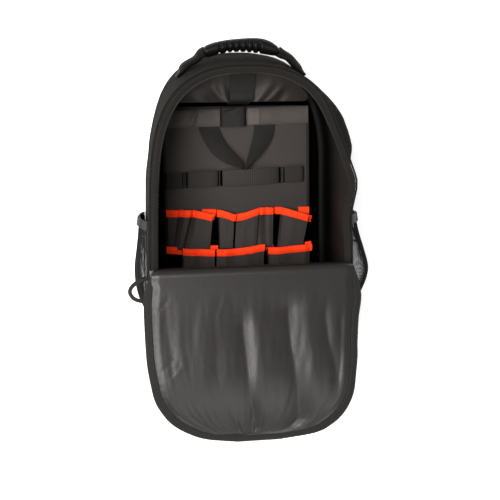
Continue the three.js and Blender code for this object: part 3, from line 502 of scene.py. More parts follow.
def body_point(side, zone, share, depth, inset=0.0):
    """A point of the body's outline on one side, at a depth from back (0) to front (1)."""
    half = mix(REAR_HALF, FRONT_HALF, depth) - inset
    height = mix(REAR_HEIGHT, FRONT_HEIGHT, depth) - inset
    foot = FOOT_RADIUS - inset
    arch = ARCH_HEIGHT - inset
    angle = share * math.pi / 2
    x = half
    y = mix(inset + foot, height - arch, share)
    if zone == "sole":
        x = share * (half - foot)
        y = inset
    elif zone == "foot":
        x = half - foot + foot * math.sin(angle)
        y = inset + foot * (1 - math.cos(angle))
    elif zone == "arch":
        x = half * max(math.cos(angle), 0.0) ** (2 / ARCH_POWER)
        y = height - arch + arch * math.sin(angle) ** (2 / ARCH_POWER)
    z = mix(BACK_LEVEL, front_level(y), depth)
    dent = dent_at(side, y, depth) * (share if zone == "sole" else 1)
    if zone == "arch":
        dent *= min(1.0, x / 60)
    return Vector((side * (x + dent), y, z))


LEVELS = [("foot", i / 12) for i in range(12)]
LEVELS += [("side", i / 14) for i in range(14)]
LEVELS += [("arch", i / 40) for i in range(41)]
SOLE = [("sole", i / 6) for i in range(6)]
RING = [(1, zone, share) for zone, share in SOLE + LEVELS]
RING += [(-1, zone, share) for zone, share in reversed(SOLE[1:] + LEVELS[:-1])]


def ring_point(u, depth, inset=0.0):
    side, zone, share = RING[round(u * len(RING)) % len(RING)]
    return body_point(side, zone, share, depth, inset)


def outward_at(point):
    """The direction out of the bag's outline at a point near it."""
    x = point.x - min(max(point.x, -60), 60)
    y = point.y - min(max(point.y, 110), 300)
    return Vector((x, y, 0)).normalized()


def side_point(side, level, depth, inset):
    i = min(int(level), len(LEVELS) - 2)
    before = body_point(side, *LEVELS[i], depth, inset)
    return before.lerp(body_point(side, *LEVELS[i + 1], depth, inset), level - i)


def level_at_height(height, inset):
    before = body_point(1, *LEVELS[0], 1, inset).y
    for i in range(1, len(LEVELS)):
        after = body_point(1, *LEVELS[i], 1, inset).y
        if height <= after:
            return i - 1 + (height - before) / (after - before)
        before = after
    return len(LEVELS) - 1


HINGE_LEVELS = {}


def opening_point(u, inset):
    """A point round the opening, from the hinge's left end over the arch to its right end."""
    key = round(inset, 3)
    if key not in HINGE_LEVELS:
        HINGE_LEVELS[key] = level_at_height(HINGE_UP, inset)
    side = -1 if u < 0.5 else 1
    share = 1 - abs(2 * u - 1)
    return side_point(side, mix(HINGE_LEVELS[key], len(LEVELS) - 1, share), 1, inset)


def wall_x(side, up, level):
    """The x of a side wall at a height and a level over the floor."""
    depth = (level - BACK_LEVEL) / (front_level(up) - BACK_LEVEL)
    half = mix(REAR_HALF, FRONT_HALF, depth)
    height = mix(REAR_HEIGHT, FRONT_HEIGHT, depth)
    x = half
    if up < FOOT_RADIUS:
        x = half - FOOT_RADIUS + math.sqrt(FOOT_RADIUS**2 - (FOOT_RADIUS - up) ** 2)
    rest = (up - (height - ARCH_HEIGHT)) / ARCH_HEIGHT
    if rest > 0:
        x = half * max(0.0, 1 - rest**ARCH_POWER) ** (1 / ARCH_POWER)
    return side * (x + dent_at(side, up, depth))


def arch_point(side, reach, level, out):
    """A point on the body's arch at a distance from its middle, a level and a distance out."""
    depth = (level - BACK_LEVEL) / (front_level(FRONT_HEIGHT) - BACK_LEVEL)
    half = mix(REAR_HALF, FRONT_HALF, depth)
    share = math.acos((reach / half) ** (ARCH_POWER / 2)) * 2 / math.pi
    point = body_point(side, "arch", share, depth, -out)
    point.z = level
    return point


def ceiling(x, level):
    return arch_point(1, max(abs(x), 1), level, -WALL).y - SEAT


FRONT_TOP = front_level(0) + GAP + FACE
FOLD_TOP = FRONT_TOP + FLAP_LENGTH * FLAP_ROWS[0]["rise"]
FOLD_LOW = FRONT_TOP - FACE / 2
FOLD_RADIUS = (FOLD_TOP - FOLD_LOW) / 2
FOLD_START = HINGE_UP + GAP + SEAT
FLAP_SAMPLES = 240


def flap_line():
    samples = [(FOLD_START, FOLD_TOP)]
    step = FLAP_LENGTH / FLAP_SAMPLES
    for i in range(1, FLAP_SAMPLES + 1):
        y, z_before = samples[-1]
        z = FRONT_TOP + FLAP_LENGTH * FLAP_RISE(i / FLAP_SAMPLES)
        samples.append((y - math.sqrt(step**2 - (z - z_before) ** 2), z))
    return samples


FLAP_LINE = flap_line()


def flap_middle(along):
    """The flap's middle line: -1 at the hinge, 0 after the fold and 1 at its end."""
    if along < 0:
        angle = (0.5 + along) * math.pi
        y = FOLD_START + FOLD_RADIUS * math.cos(angle)
        return Vector((0, y, (FOLD_TOP + FOLD_LOW) / 2 + FOLD_RADIUS * math.sin(angle)))
    spot = min(along, 1) * FLAP_SAMPLES
    i = min(int(spot), FLAP_SAMPLES - 1)
    here, after = FLAP_LINE[i], FLAP_LINE[i + 1]
    return Vector((0, mix(here[0], after[0], spot - i), mix(here[1], after[1], spot - i)))


def flap_point(side, along, inset, margin, lift):
    """A point of the flap, as in the model: side -1 to 1, distance in from the edge, and lift."""
    half = FLAP_HALF * FLAP_SIDES[-1 if side < 0 else 1](along)
    away = min(1, -along / HINGE_RAMP if along < 0 else along / BORDER_RAMP)
    narrow = mix(BORDER_TAPER, HINGE_DRAW if along < 0 else 1, smooth(away))
    spot = along if along < 0 else along * (1 - (inset + margin) / FLAP_LENGTH)
    small = 0.012
    tangent = (flap_middle(spot + small) - flap_middle(spot - small)).normalized()
    point = flap_middle(spot)
    point.x = side * half * (1 - (inset * narrow + margin) / FLAP_HALF)
    point.y += lift * tangent.z
    point.z -= lift * tangent.y
    return point


class Crease:
    """A fold that follows a path of (side, along) places."""

    def __init__(self, path, width, height, sharp):
        rows = [{"along": along, "side": side} for side, along in path]
        self.side = RowCurve(rows, "along", "side")
        self.first, self.last = path[0][1], path[-1][1]
        self.width, self.height, self.sharp = width, height, sharp

    def __call__(self, side, along):
        across = (side - self.side(along)) * FLAP_HALF
        beyond = max(self.first - along, along - self.last, 0) * FLAP_LENGTH
        fade = bell(beyond / (14 + 0.6 * self.width))
        if self.sharp:
            away = math.hypot(across, 1.5) - 1.5
            if across > 0:
                return self.height * max(0, 1 - away / self.width) ** 1.35 * fade
            return self.height * math.exp(-away / (0.9 * self.width)) * fade
        return self.height * bell(across / self.width) * fade


CREASES = [Crease(**fold) for fold in LINING_FOLDS]


def lining_point(u, v):
    """The folded lining: over the fold, then down the flap between its zip tapes."""
    along = mix(-0.93, 1, v)
    side = 2 * u - 1
    edge = (1 - abs(side)) * FLAP_HALF
    end = (1 - along) * FLAP_LENGTH
    near = min(edge, end)
    puff = 2.5 * smooth(near / 14)
    folds = sum(crease(side, along) for crease in CREASES)
    grain = noise.noise(Vector((side * 7, along * 2.4, 3.1)))
    grain += 0.45 * noise.noise(Vector((side * 17, along * 6, 8.7)))
    spread = smooth(near / 16) * smooth((along - 0.02) / 0.2)
    pucker = 0.35 * math.sin(side * 95) * smooth(1 - end / 16) * smooth(end / 3)
    pucker += 0.12 * math.sin(along * 150) * smooth(1 - edge / 14) * smooth(edge / 3) * smooth(along * 8)
    lift = 3.1 + puff + spread * (folds + 0.7 * grain) + pucker
    point = flap_point(side, along, BORDER_WIDTH + 3.5 * smooth((along - 0.7) / 0.25), 0.1, lift)
    point.x += side * (3 if side < 0 else 5.5) * bell((along + 0.35) / 0.3)
    return point


def border_point(u, inset, lift):
    """The flap's zip tape, down its left edge, round its end and up its right edge."""
    turn = 0.03
    if u <= 0.5 - turn:
        return flap_point(-1, u / (0.5 - turn), inset, 0, lift)
    if u >= 0.5 + turn:
        return flap_point(1, (1 - u) / (0.5 - turn), inset, 0, lift)
    left = flap_point(-1, 1, inset, 0, lift)
    return left.lerp(flap_point(1, 1, inset, 0, lift), (u - 0.5 + turn) / (2 * turn))


def pocket_point(side, bulge, u, v, out=0.0):
    up = mix(POCKET_BOTTOM, POCKET_TOP, v)
    level = mix(POCKET_REAR, POCKET_FRONT, u)
    round_out = math.sin(math.pi * min(max(u, 0), 1)) ** 0.6
    gather = 0.9 * math.sin(u * 58) * smooth((v - 0.55) / 0.4)
    fold = 2.2 * noise.noise(Vector((u * 5, v * 3, side * 4.0))) * math.sin(math.pi * v)
    reach = bulge * NET_OUT(v) * round_out + (gather + fold) * round_out
    return Vector((wall_x(side, up, level) + side * (SEAT + reach + out), up, level))


def curtain_point(side, down, lift):
    x = side * CURTAIN_HALF * CURTAIN_SPAN(down)
    fall = CURTAIN_FALL(down)
    fold = 0.0
    for row in CURTAIN_FOLDS:
        fold += row["height"] * bell((side - mix(row["top"], row["low"], down)) / row["width"])
    fold += 1.6 * noise.noise(Vector((side * 4.5, down * 2.2, 5.0)))
    y = mix(ceiling(x, CURTAIN_TOP_LEVEL + 2 * CURTAIN), CURTAIN_LOW_UP, down)
    z = mix(CURTAIN_TOP_LEVEL, CURTAIN_LOW_LEVEL, fall)
    return Vector((x, y, z + lift + fold * smooth(down)))


def pocket_cloth(name, ridge, t, v):
    """A point of a row of tool pockets, a share t past one of its ridges and v up from its bottom."""
    row = POCKET_ROWS[name]
    here, after = row["cloth"][ridge : ridge + 2]
    x = mix(mix(here["low"], here["top"], v), mix(after["low"], after["top"], v), t)
    steep = abs(after["rise"] - here["rise"]) > 0.9 * (after["top"] - here["top"])
    rise = mix(here["rise"], after["rise"], t if steep else mix(t, smooth(t), 0.7))
    y = mix(row["bottom"], MOUTHS[name](x) - 0.8, v)
    rise *= mix(0.45, 1, v) * smooth(v / 0.05)
    rise += 0.5 * noise.noise(Vector((x / 11, y / 24, 2.0))) * min(1, rise / 4)
    return Vector((x, y, PANEL_FACE + GAP + rise))


def pocket_level(name, x, y):
    """How high a row's cloth stands over the floor at a place on the panel."""
    row = POCKET_ROWS[name]
    v = min(max((y - row["bottom"]) / (MOUTHS[name](x) - row["bottom"]), 0), 1)
    places = [mix(ridge["low"], ridge["top"], v) for ridge in row["cloth"]]
    ridge = min(max(bisect_right(places, x) - 1, 0), len(places) - 2)
    t = (x - places[ridge]) / (places[ridge + 1] - places[ridge])
    return pocket_cloth(name, ridge, min(max(t, 0), 1), v).z


def grip_point(x):
    return Vector((x, (GRIP_LOW(x) + GRIP_TOP(x)) / 2, GRIP_LEVEL))


def curve_through(points, steps):
    """Evenly spaced points on a smooth curve through a few chosen ones."""
    padded = [points[0] * 2 - points[1], *points, points[-1] * 2 - points[-2]]
    fine = []
    for i in range(1, len(padded) - 2):
        a, b, c, d = padded[i - 1 : i + 3]
        for k in range(24):
            t = k / 24
            fine.append(
                0.5 * (2 * b + (c - a) * t + (2 * a - 5 * b + 4 * c - d) * t**2 + (3 * b - a - 3 * c + d) * t**3)
            )
    fine.append(points[-1].copy())
    lengths = [0.0]
    for before, after in zip(fine, fine[1:]):
        lengths.append(lengths[-1] + (after - before).length)
    spaced = []
    for k in range(steps + 1):
        goal = lengths[-1] * k / steps
        i = min(max(bisect_right(lengths, goal) - 1, 0), len(fine) - 2)
        span = lengths[i + 1] - lengths[i]
        spaced.append(fine[i].lerp(fine[i + 1], (goal - lengths[i]) / span if span else 0))
    return spaced


# ---- Settings that a user would change ----


def colour_setting(name, description, value):
    return bpy.props.FloatVectorProperty(
        name=name, description=description, default=value, subtype="COLOR", size=3, min=0, max=1
    )


def length_setting(name, description, value, low=0.0, high=0.05):
    return bpy.props.FloatProperty(
        name=name, description=description, default=value, min=low, max=high, unit="LENGTH", precision=5
    )


def power_setting(name, description, value):
    return bpy.props.FloatProperty(name=name, description=description, default=value, unit="POWER")


class ClothSettings(bpy.types.PropertyGroup):
    """Colours and weaves of the bag's cloths."""

    canvas: colour_setting("Canvas", "Coarse outer cloth", (0.0094, 0.0086, 0.0077))
    tape: colour_setting("Zip tape", "Tape round the opening and the flap", (0.0062, 0.0056, 0.0051))
    piping: colour_setting("Piping", "Round piping along the front seam", (0.0055, 0.0052, 0.005))
    lining: colour_setting("Lining", "Smooth coated lining", (0.0074, 0.0064, 0.0058))
    inside: colour_setting("Inner walls", "Lining of the bag's walls and back", (0.0155, 0.0138, 0.0127))
    panel: colour_setting("Panel cloth", "Cloth of the tool panel and its pockets", (0.0215, 0.0182, 0.0166))
    webbing: colour_setting("Webbing", "Straps and loops", (0.0066, 0.0059, 0.0054))
    binding: colour_setting("Binding", "Folded edging of the tool pockets", (0.92, 0.042, 0.006))
    net: colour_setting("Net", "Knitted net of the side pockets", (0.012, 0.0117, 0.0114))
    spacer: colour_setting("Spacer net", "Padded net of the back and the straps", (0.009, 0.0087, 0.0084))
    weave: length_setting("Weave pitch", "Distance between the canvas's threads", 0.0011, 0.0003, 0.005)


class HardSettings(bpy.types.PropertyGroup):
    """Rubber, plastic and metal."""

    rubber: colour_setting("Grip rubber", "Ribbed rubber of the top handle", (0.0025, 0.0025, 0.0027))
    plastic: colour_setting("Plastic", "Strap adjusters", (0.006, 0.006, 0.006))
    metal: colour_setting("Metal", "Zip slider", (0.06, 0.06, 0.06))
    coil: colour_setting("Zip coil", "Coil of the zip", (0.014, 0.0133, 0.0126))


class DetailSettings(bpy.types.PropertyGroup):
    """Sizes of small repeated details."""

    tooth_pitch: length_setting("Coil pitch", "Distance between turns of the zip's coil", 0.0023, 0.001, 0.01)
    net_cell: length_setting("Net cell", "Width of a cell of the side pockets' net", 0.0036, 0.001, 0.01)
    net_strand: length_setting("Net strand", "Thickness of the net's strands", 0.0008, 0.0001, 0.003)
    stitch: length_setting("Stitch", "Length of one stitch", 0.0028, 0.001, 0.01)
    wrinkle: length_setting("Wall wrinkles", "Height of the soft wrinkles in the walls", 0.0013, 0.0, 0.01)


class StageSettings(bpy.types.PropertyGroup):
    """Light, floor and camera."""

    key_power: power_setting("Key light", "Power of the main softbox", 76.0)
    sheen_power: power_setting("Sheen light", "Power of the softbox at the lower left", 40.0)
    front_power: power_setting("Front light", "Power of the low softbox in front", 8.0)
    room: bpy.props.FloatProperty(
        name="Room light", description="Strength of the plain surroundings", default=0.66
    )
    floor: colour_setting("Floor", "Colour of the plain floor", (0.6, 0.6, 0.6))
    glow: bpy.props.FloatProperty(name="Floor glow", description="Light that the floor gives off", default=0.6)
    lens: bpy.props.FloatProperty(
        name="Lens", description="Focal length on a 36 mm sensor", default=70.36, unit="CAMERA"
    )
    roll: bpy.props.FloatProperty(
        name="Roll",
        description="Turn of the camera about its line of sight",
        default=math.radians(0.8),
        subtype="ANGLE",
    )


# ---- Materials ----


def start_material(name, roughness, specular, sheen=0.0, metallic=0.0):
    """A material with its principled shader, and a helper that adds nodes to it."""
    material = bpy.data.materials.new("bag_" + name)
    material.use_nodes = True
    tree = material.node_tree
    tree.nodes.clear()
    output = tree.nodes.new("ShaderNodeOutputMaterial")
    shader = tree.nodes.new("ShaderNodeBsdfPrincipled")
    shader.inputs["Roughness"].default_value = roughness
    shader.inputs["Specular IOR Level"].default_value = specular
    shader.inputs["Sheen Weight"].default_value = sheen
    shader.inputs["Sheen Roughness"].default_value = 0.4
    shader.inputs["Metallic"].default_value = metallic
    tree.links.new(shader.outputs["BSDF"], output.inputs["Surface"])
    return material, tree, shader


def maths(tree, operation, first, second):
    node = tree.nodes.new("ShaderNodeMath")
    node.operation = operation
    for socket, value in zip(node.inputs, (first, second)):
        if isinstance(value, (int, float)):
            socket.default_value = value
        else:
            tree.links.new(value, socket)
    return node.outputs["Value"]


def coordinates(tree, space):
    return tree.nodes.new("ShaderNodeTexCoord").outputs[space]


def bands(tree, vector, direction, pitch, distortion=0.0):
    """Threads across one direction, one every pitch."""
    wave = tree.nodes.new("ShaderNodeTexWave")
    wave.wave_type = "BANDS"
    wave.bands_direction = direction
    wave.inputs["Scale"].default_value = math.pi / (10 * pitch)
    wave.inputs["Distortion"].default_value = distortion
    tree.links.new(vector, wave.inputs["Vector"])
    return wave.outputs["Fac"]


def cloud(tree, vector, size, detail=3.0, roughness=0.55):
    node = tree.nodes.new("ShaderNodeTexNoise")
    node.inputs["Scale"].default_value = 1 / size
    node.inputs["Detail"].default_value = detail
    node.inputs["Roughness"].default_value = roughness
    tree.links.new(vector, node.inputs["Vector"])
    return node.outputs["Fac"]


def tinted(tree, shader, colour, amount, shade):
    """Colour that drifts by a share round its base as a grey pattern changes."""
    node = tree.nodes.new("ShaderNodeMix")
    node.data_type = "RGBA"
    tree.links.new(shade, node.inputs["Factor"])
    node.inputs[6].default_value = (*[c * (1 - amount) for c in colour], 1)
    node.inputs[7].default_value = (*[min(1, c * (1 + amount)) for c in colour], 1)
    tree.links.new(node.outputs[2], shader.inputs["Base Color"])


def bumped(tree, shader, height, distance):
    node = tree.nodes.new("ShaderNodeBump")
    node.inputs["Distance"].default_value = distance
    tree.links.new(height, node.inputs["Height"])
    tree.links.new(node.outputs["Normal"], shader.inputs["Normal"])


def woven_cloth(name, colour, pitch, roughness, sheen, drift, depth, space="UV", specular=0.35):
    """Plain weave: two sets of threads over and under each other, with uneven yarns."""
    _, tree, shader = start_material(name, roughness, specular, sheen)
    vector = coordinates(tree, space)
    warp = bands(tree, vector, "X", pitch)
    weft = bands(tree, vector, "Y", pitch)
    weave = maths(tree, "MAXIMUM", warp, weft)
    yarn = cloud(tree, vector, pitch * 1.7, 2.0, 0.7)
    wide = cloud(tree, coordinates(tree, "Object"), 0.035, 3.0)
    shade = maths(tree, "ADD", maths(tree, "MULTIPLY", yarn, 0.6), maths(tree, "MULTIPLY", wide, 0.4))
    tinted(tree, shader, colour, drift, shade)
    height = maths(tree, "ADD", weave, maths(tree, "MULTIPLY", yarn, 0.6))
    bumped(tree, shader, height, depth)


def coated_lining(name, colour, roughness, specular, fade=None):
    """Thin close weave with a smooth coat, so that its folds shine softly."""
    _, tree, shader = start_material(name, roughness, specular)
    vector = coordinates(tree, "UV")
    weave = maths(tree, "MAXIMUM", bands(tree, vector, "X", 0.0006), bands(tree, vector, "Y", 0.0006))
    wide = cloud(tree, coordinates(tree, "Object"), 0.05, 4.0)
    fine = cloud(tree, coordinates(tree, "Object"), 0.006, 3.0)
    tinted(tree, shader, colour, 0.12, wide)
    if fade:
        # Painted shade: the cloth is darker low in the bag than near its opening, where shade falls deep inside.
        split = tree.nodes.new("ShaderNodeSeparateXYZ")
        tree.links.new(coordinates(tree, "Object"), split.inputs["Vector"])
        above = maths(tree, "SUBTRACT", split.outputs["Z"], fade[0])
        share = tree.nodes.new("ShaderNodeClamp")
        tree.links.new(maths(tree, "DIVIDE", above, fade[1] - fade[0]), share.inputs["Value"])
        tinted(tree, shader, [c * 0.52 for c in colour], 0.92, share.outputs["Result"])
    height = maths(tree, "ADD", maths(tree, "MULTIPLY", weave, 0.06), fine)
    bumped(tree, shader, height, 0.0002)


def ribbed_webbing(name, colour, pitch, depth):
    """Webbing with ribs across its own length."""
    _, tree, shader = start_material(name, 0.55, 0.15)
    vector = coordinates(tree, "UV")
    rib = bands(tree, vector, "X", pitch, 0.3)
    thread = bands(tree, vector, "Y", pitch * 0.45)
    yarn = cloud(tree, vector, pitch, 2.0, 0.7)
    tinted(tree, shader, colour, 0.25, maths(tree, "MULTIPLY", maths(tree, "ADD", rib, yarn), 0.5))
    height = maths(tree, "ADD", rib, maths(tree, "MULTIPLY", thread, 0.35))
    bumped(tree, shader, height, depth)


def knitted_net(name, colour, pitch, depth):
    """Spacer net: small open cells sunk into a soft face."""
    _, tree, shader = start_material(name, 0.8, 0.2, 0.05)
    cells = tree.nodes.new("ShaderNodeTexVoronoi")
    cells.inputs["Scale"].default_value = 1 / pitch
    cells.inputs["Randomness"].default_value = 0.12
    tree.links.new(coordinates(tree, "Object"), cells.inputs["Vector"])
    tinted(tree, shader, colour, 0.5, maths(tree, "MULTIPLY", cells.outputs["Distance"], 1.4))
    bumped(tree, shader, cells.outputs["Distance"], depth)


def moulded(name, colour, roughness, metallic=0.0, grain=0.0001):
    """Moulded rubber or plastic, or cast metal, with a fine grain and worn patches."""
    _, tree, shader = start_material(name, roughness, 0.12, 0.0, metallic)
    vector = coordinates(tree, "Object")
    fine = cloud(tree, vector, 0.0009, 4.0, 0.6)
    wide = cloud(tree, vector, 0.012, 3.0)
    tinted(tree, shader, colour, 0.2, wide)
    worn = maths(tree, "ADD", maths(tree, "MULTIPLY", wide, 0.16), roughness - 0.08)
    tree.links.new(worn, shader.inputs["Roughness"])
    bumped(tree, shader, fine, grain)


def made(name):
    return bpy.data.materials["bag_" + name]


# ---- Mesh helpers ----


def bevel(mesh, edges, offset, segments):
    bmesh.ops.bevel(mesh, geom=edges, offset=offset, segments=segments, profile=0.5, affect="EDGES", material=-1)


def block(mesh, size, centre):
    """A box of a size round a centre."""
    verts = bmesh.ops.create_cube(mesh, size=1.0)["verts"]
    bmesh.ops.scale(mesh, vec=size, verts=verts)
    bmesh.ops.translate(mesh, vec=centre, verts=verts)
    return verts


def weld(mesh):
    """Closes the seams of a mesh."""
    bmesh.ops.remove_doubles(mesh, verts=mesh.verts[:], dist=1e-6)
    return mesh


def face_out(mesh):
    """Turns all faces outwards."""
    bmesh.ops.recalc_face_normals(mesh, faces=mesh.faces[:])
    return mesh


def turn_over(mesh):
    """Turns all faces the other way."""
    bmesh.ops.reverse_faces(mesh, faces=mesh.faces[:])
    return mesh


def step_at(points, i):
    """The way along a path at one of its points."""
    return points[min(i + 1, len(points) - 1)] - points[max(i - 1, 0)]


def cloth_grid(surface, columns, rows, width, length, closed=False):
    """A grid of cloth laid over a surface, with its own UV map in metres."""
    mesh = bmesh.new()
    weave = mesh.loops.layers.uv.new("weave")
    bmesh.ops.create_grid(mesh, x_segments=columns, y_segments=rows, size=0.5)
    for face in mesh.faces:
        for loop in face.loops:
            loop[weave].uv = ((loop.vert.co.x + 0.5) * width * MM, (loop.vert.co.y + 0.5) * length * MM)
    for vert in mesh.verts:
        vert.co = place(surface(vert.co.x + 0.5, vert.co.y + 0.5))
    if closed:
        weld(mesh)
    mesh.normal_update()
    return mesh


def mark_faces(mesh, width, marks):
    """Gives the second material to the columns of a grid that are marked, one mark a column's edge."""
    weave = mesh.loops.layers.uv["weave"]
    for face in mesh.faces:
        u = sum(loop[weave].uv.x for loop in face.loops) / 4 / (width * MM)
        face.material_index = int(marks[int(u * (len(marks) - 1))])


def thicken(mesh, thickness, back_slot=0):
    """Gives an open surface a wall behind its faces, whose back takes another material slot."""
    mesh.normal_update()
    faces = mesh.faces[:]
    verts = mesh.verts[:]
    normals = [vert.normal.copy() for vert in verts]
    bmesh.ops.extrude_face_region(mesh, geom=faces, use_keep_orig=True)
    for vert, normal in zip(verts, normals):
        vert.co -= normal * thickness * MM
    if back_slot:
        for face in faces:
            face.material_index = back_slot
    mesh.normal_update()
    return mesh


def linked(name, data):
    """An object of some data, put into the scene."""
    made_object = bpy.data.objects.new(name, data)
    bpy.context.scene.collection.objects.link(made_object)
    return made_object


def from_bmesh(name, mesh):
    """An object of a finished bmesh."""
    data = bpy.data.meshes.new(name)
    mesh.to_mesh(data)
    mesh.free()
    return linked(name, data)


def add_piece(name, mesh, materials, nodes=(), angle=50.0):
    """Turns a mesh into a piece that rides on the bag, and hides the nodes that it stands for."""
    piece = from_bmesh(name, mesh)
    piece.data.shade_smooth()
    piece.data.set_sharp_from_angle(angle=math.radians(angle))
    for material in materials:
        piece.data.materials.append(made(material))
    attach(piece, "root")
    if nodes:
        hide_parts(*nodes)
    return piece


def tube(centres, across_axes, up_axes, sizes, round_steps):
    """A round piece along a path, from its centres, two directions and two half sizes at each."""
    last = len(centres) - 1

    def surface(u, v):
        i = round(u * last)
        angle = 2 * math.pi * v
        wide, high = sizes[i]
        return centres[i] + across_axes[i] * (wide * math.cos(angle)) + up_axes[i] * (high * math.sin(angle))

    mesh = cloth_grid(surface, last, round_steps, 10 * last, 40)
    weld(mesh)
    bmesh.ops.holes_fill(mesh, edges=[edge for edge in mesh.edges if edge.is_boundary], sides=0)
    face_out(mesh)
    return mesh


def small_shapes(name, spots, material):
    """Many small rounded pieces, each from its centre, three directions and half sizes."""
    mesh = bmesh.new()
    for centre, along, across, up, sizes in spots:
        turn = Matrix.Identity(4)
        for column, (axis, size) in enumerate(zip((along, across, up), sizes)):
            for row in range(3):
                turn[row][column] = axis[row] * size * MM
        turn.translation = place(centre)
        bmesh.ops.create_icosphere(mesh, subdivisions=1, radius=1.0, matrix=turn)
    face_out(mesh)
    return add_piece(name, mesh, [material], angle=180)


def row_of_teeth(point, inner, count):
    """Turns of a zip's coil along a path, each lying across it."""
    spots = []
    for k in range(count):
        u = (k + 0.5) / count
        here = point(u)
        along = (point(min(u + 0.5 / count, 1)) - point(max(u - 0.5 / count, 0))).normalized()
        across = (inner(u) - here).normalized()
        up = along.cross(across).normalized()
        spots.append((here, along, across, up, (0.85, 2.0, 1.05)))
    return spots


def row_of_stitches(point, length, over=UP, size=(1.25, 0.32, 0.28)):
    """Stitches along a path of a known length, each lying on the cloth below it."""
    count = max(2, int(length / (2 * size[0] * STITCH_GAP)))
    spots = []
    for k in range(count):
        u = (k + 0.5) / count
        here = point(u)
        along = (point(min(u + 0.4 / count, 1)) - point(max(u - 0.4 / count, 0))).normalized()
        across = along.cross(over).normalized()
        spots.append((here, along, across, across.cross(along), size))
    return spots


def strip(points, directions, width, thickness, arch=0.0, columns=6):
    """A flat strap along a path: its middle, the directions of its width, and a slight arch."""
    last = len(points) - 1
    length = sum((b - a).length for a, b in zip(points, points[1:]))

    def surface(u, v):
        i = round(u * last)
        along = step_at(points, i)
        over = along.cross(directions[i]).normalized()
        across = v - 0.5
        lift = arch * (1 - (2 * across) ** 2) + thickness / 2
        return points[i] + directions[i] * (across * width) + over * lift

    mesh = cloth_grid(surface, last, columns, length, width)
    return thicken(mesh, thickness)


# ---- Pieces ----


def make_materials(scene):
    cloth, hard = scene.backpack_cloth, scene.backpack_hard
    woven_cloth("canvas", cloth.canvas, cloth.weave, 0.85, 0.0, 0.45, 0.00014, specular=0.03)
    woven_cloth("zip_tape", cloth.tape, 0.0009, 0.65, 0.0, 0.3, 0.0001, specular=0.14)
    woven_cloth("piping_tape", cloth.piping, 0.0009, 0.7, 0.0, 0.3, 0.0001, specular=0.08)
    woven_cloth("panel_cloth", cloth.panel, 0.0007, 0.55, 0.0, 0.16, 0.0001, specular=0.15)
    woven_cloth("binding_tape", cloth.binding, 0.0008, 0.55, 0.0, 0.16, 0.00025, specular=0.12)
    woven_cloth("binding_thread", [c * 0.55 for c in cloth.binding], 0.0005, 0.6, 0.1, 0.2, 0.0001, "Object")
    woven_cloth("net_yarn", cloth.net, 0.0008, 0.85, 0.0, 0.35, 0.0002, "Object", 0.08)
    woven_cloth("dark_thread", (0.006, 0.0057, 0.0055), 0.0005, 0.6, 0.1, 0.2, 0.0001, "Object")
    coated_lining("lining_cloth", cloth.lining, 0.38, specular=0.27)
    coated_lining("gathered_cloth", [c * 1.5 for c in cloth.lining], 0.5, specular=0.2)
    coated_lining("inner_cloth", cloth.inside, 0.6, specular=0.05, fade=(0.06, 0.15))
    woven_cloth("band_cloth", [c * 1.4 for c in cloth.panel], 0.0007, 0.5, 0.0, 0.16, 0.0001, specular=0.2)
    woven_cloth("worn_cloth", [c * 2.2 for c in cloth.panel], 0.0007, 0.5, 0.0, 0.16, 0.00018)
    # Near-black cloth: painted shade for gaps and corners that lie deep in shadow.
    woven_cloth("shade_cloth", [c * 0.03 for c in cloth.inside], 0.0007, 0.8, 0.0, 0.2, 0.0002, specular=0.0)
    ribbed_webbing("webbing_cross", cloth.webbing, 0.0019, 0.0003)
    ribbed_webbing("webbing_fine", cloth.webbing, 0.0015, 0.0002)
    ribbed_webbing("panel_webbing", [c * 2.2 for c in cloth.webbing], 0.0019, 0.0003)
    ribbed_webbing("elastic", cloth.webbing, 0.0014, 0.0002)
    knitted_net("spacer_net", cloth.spacer, 0.0042, 0.0012)
    moulded("grip_rubber", hard.rubber, 0.42, grain=0.00012)
    moulded("plastic", hard.plastic, 0.45)
    moulded("slider_metal", hard.metal, 0.6, 0.9, 0.00003)
    moulded("zip_coil", hard.coil, 0.4, grain=0.00004)


def wall_point(u, v, rows, wrinkle):
    rear_rows = 6
    k = round(v * rows)
    if k <= rear_rows:
        angle = k / rear_rows * math.pi / 2
        depth = REAR_ROUND / BODY_DEPTH * (1 - math.cos(angle))
        inset = REAR_ROUND * (1 - math.sin(angle))
    else:
        depth = mix(REAR_ROUND / BODY_DEPTH, 1, (k - rear_rows) / (rows - rear_rows))
        inset = 0.0
    point = ring_point(u, depth, inset)
    out = outward_at(point)
    soft = noise.noise(Vector((point.x / 38, point.y / 38, point.z / 80)))
    soft += 0.5 * noise.noise(Vector((point.x / 15, point.y / 15, point.z / 45 + 7)))
    fade = smooth((1 - depth) / 0.16) * smooth(depth / 0.1)
    return point + out * (soft * wrinkle * fade)


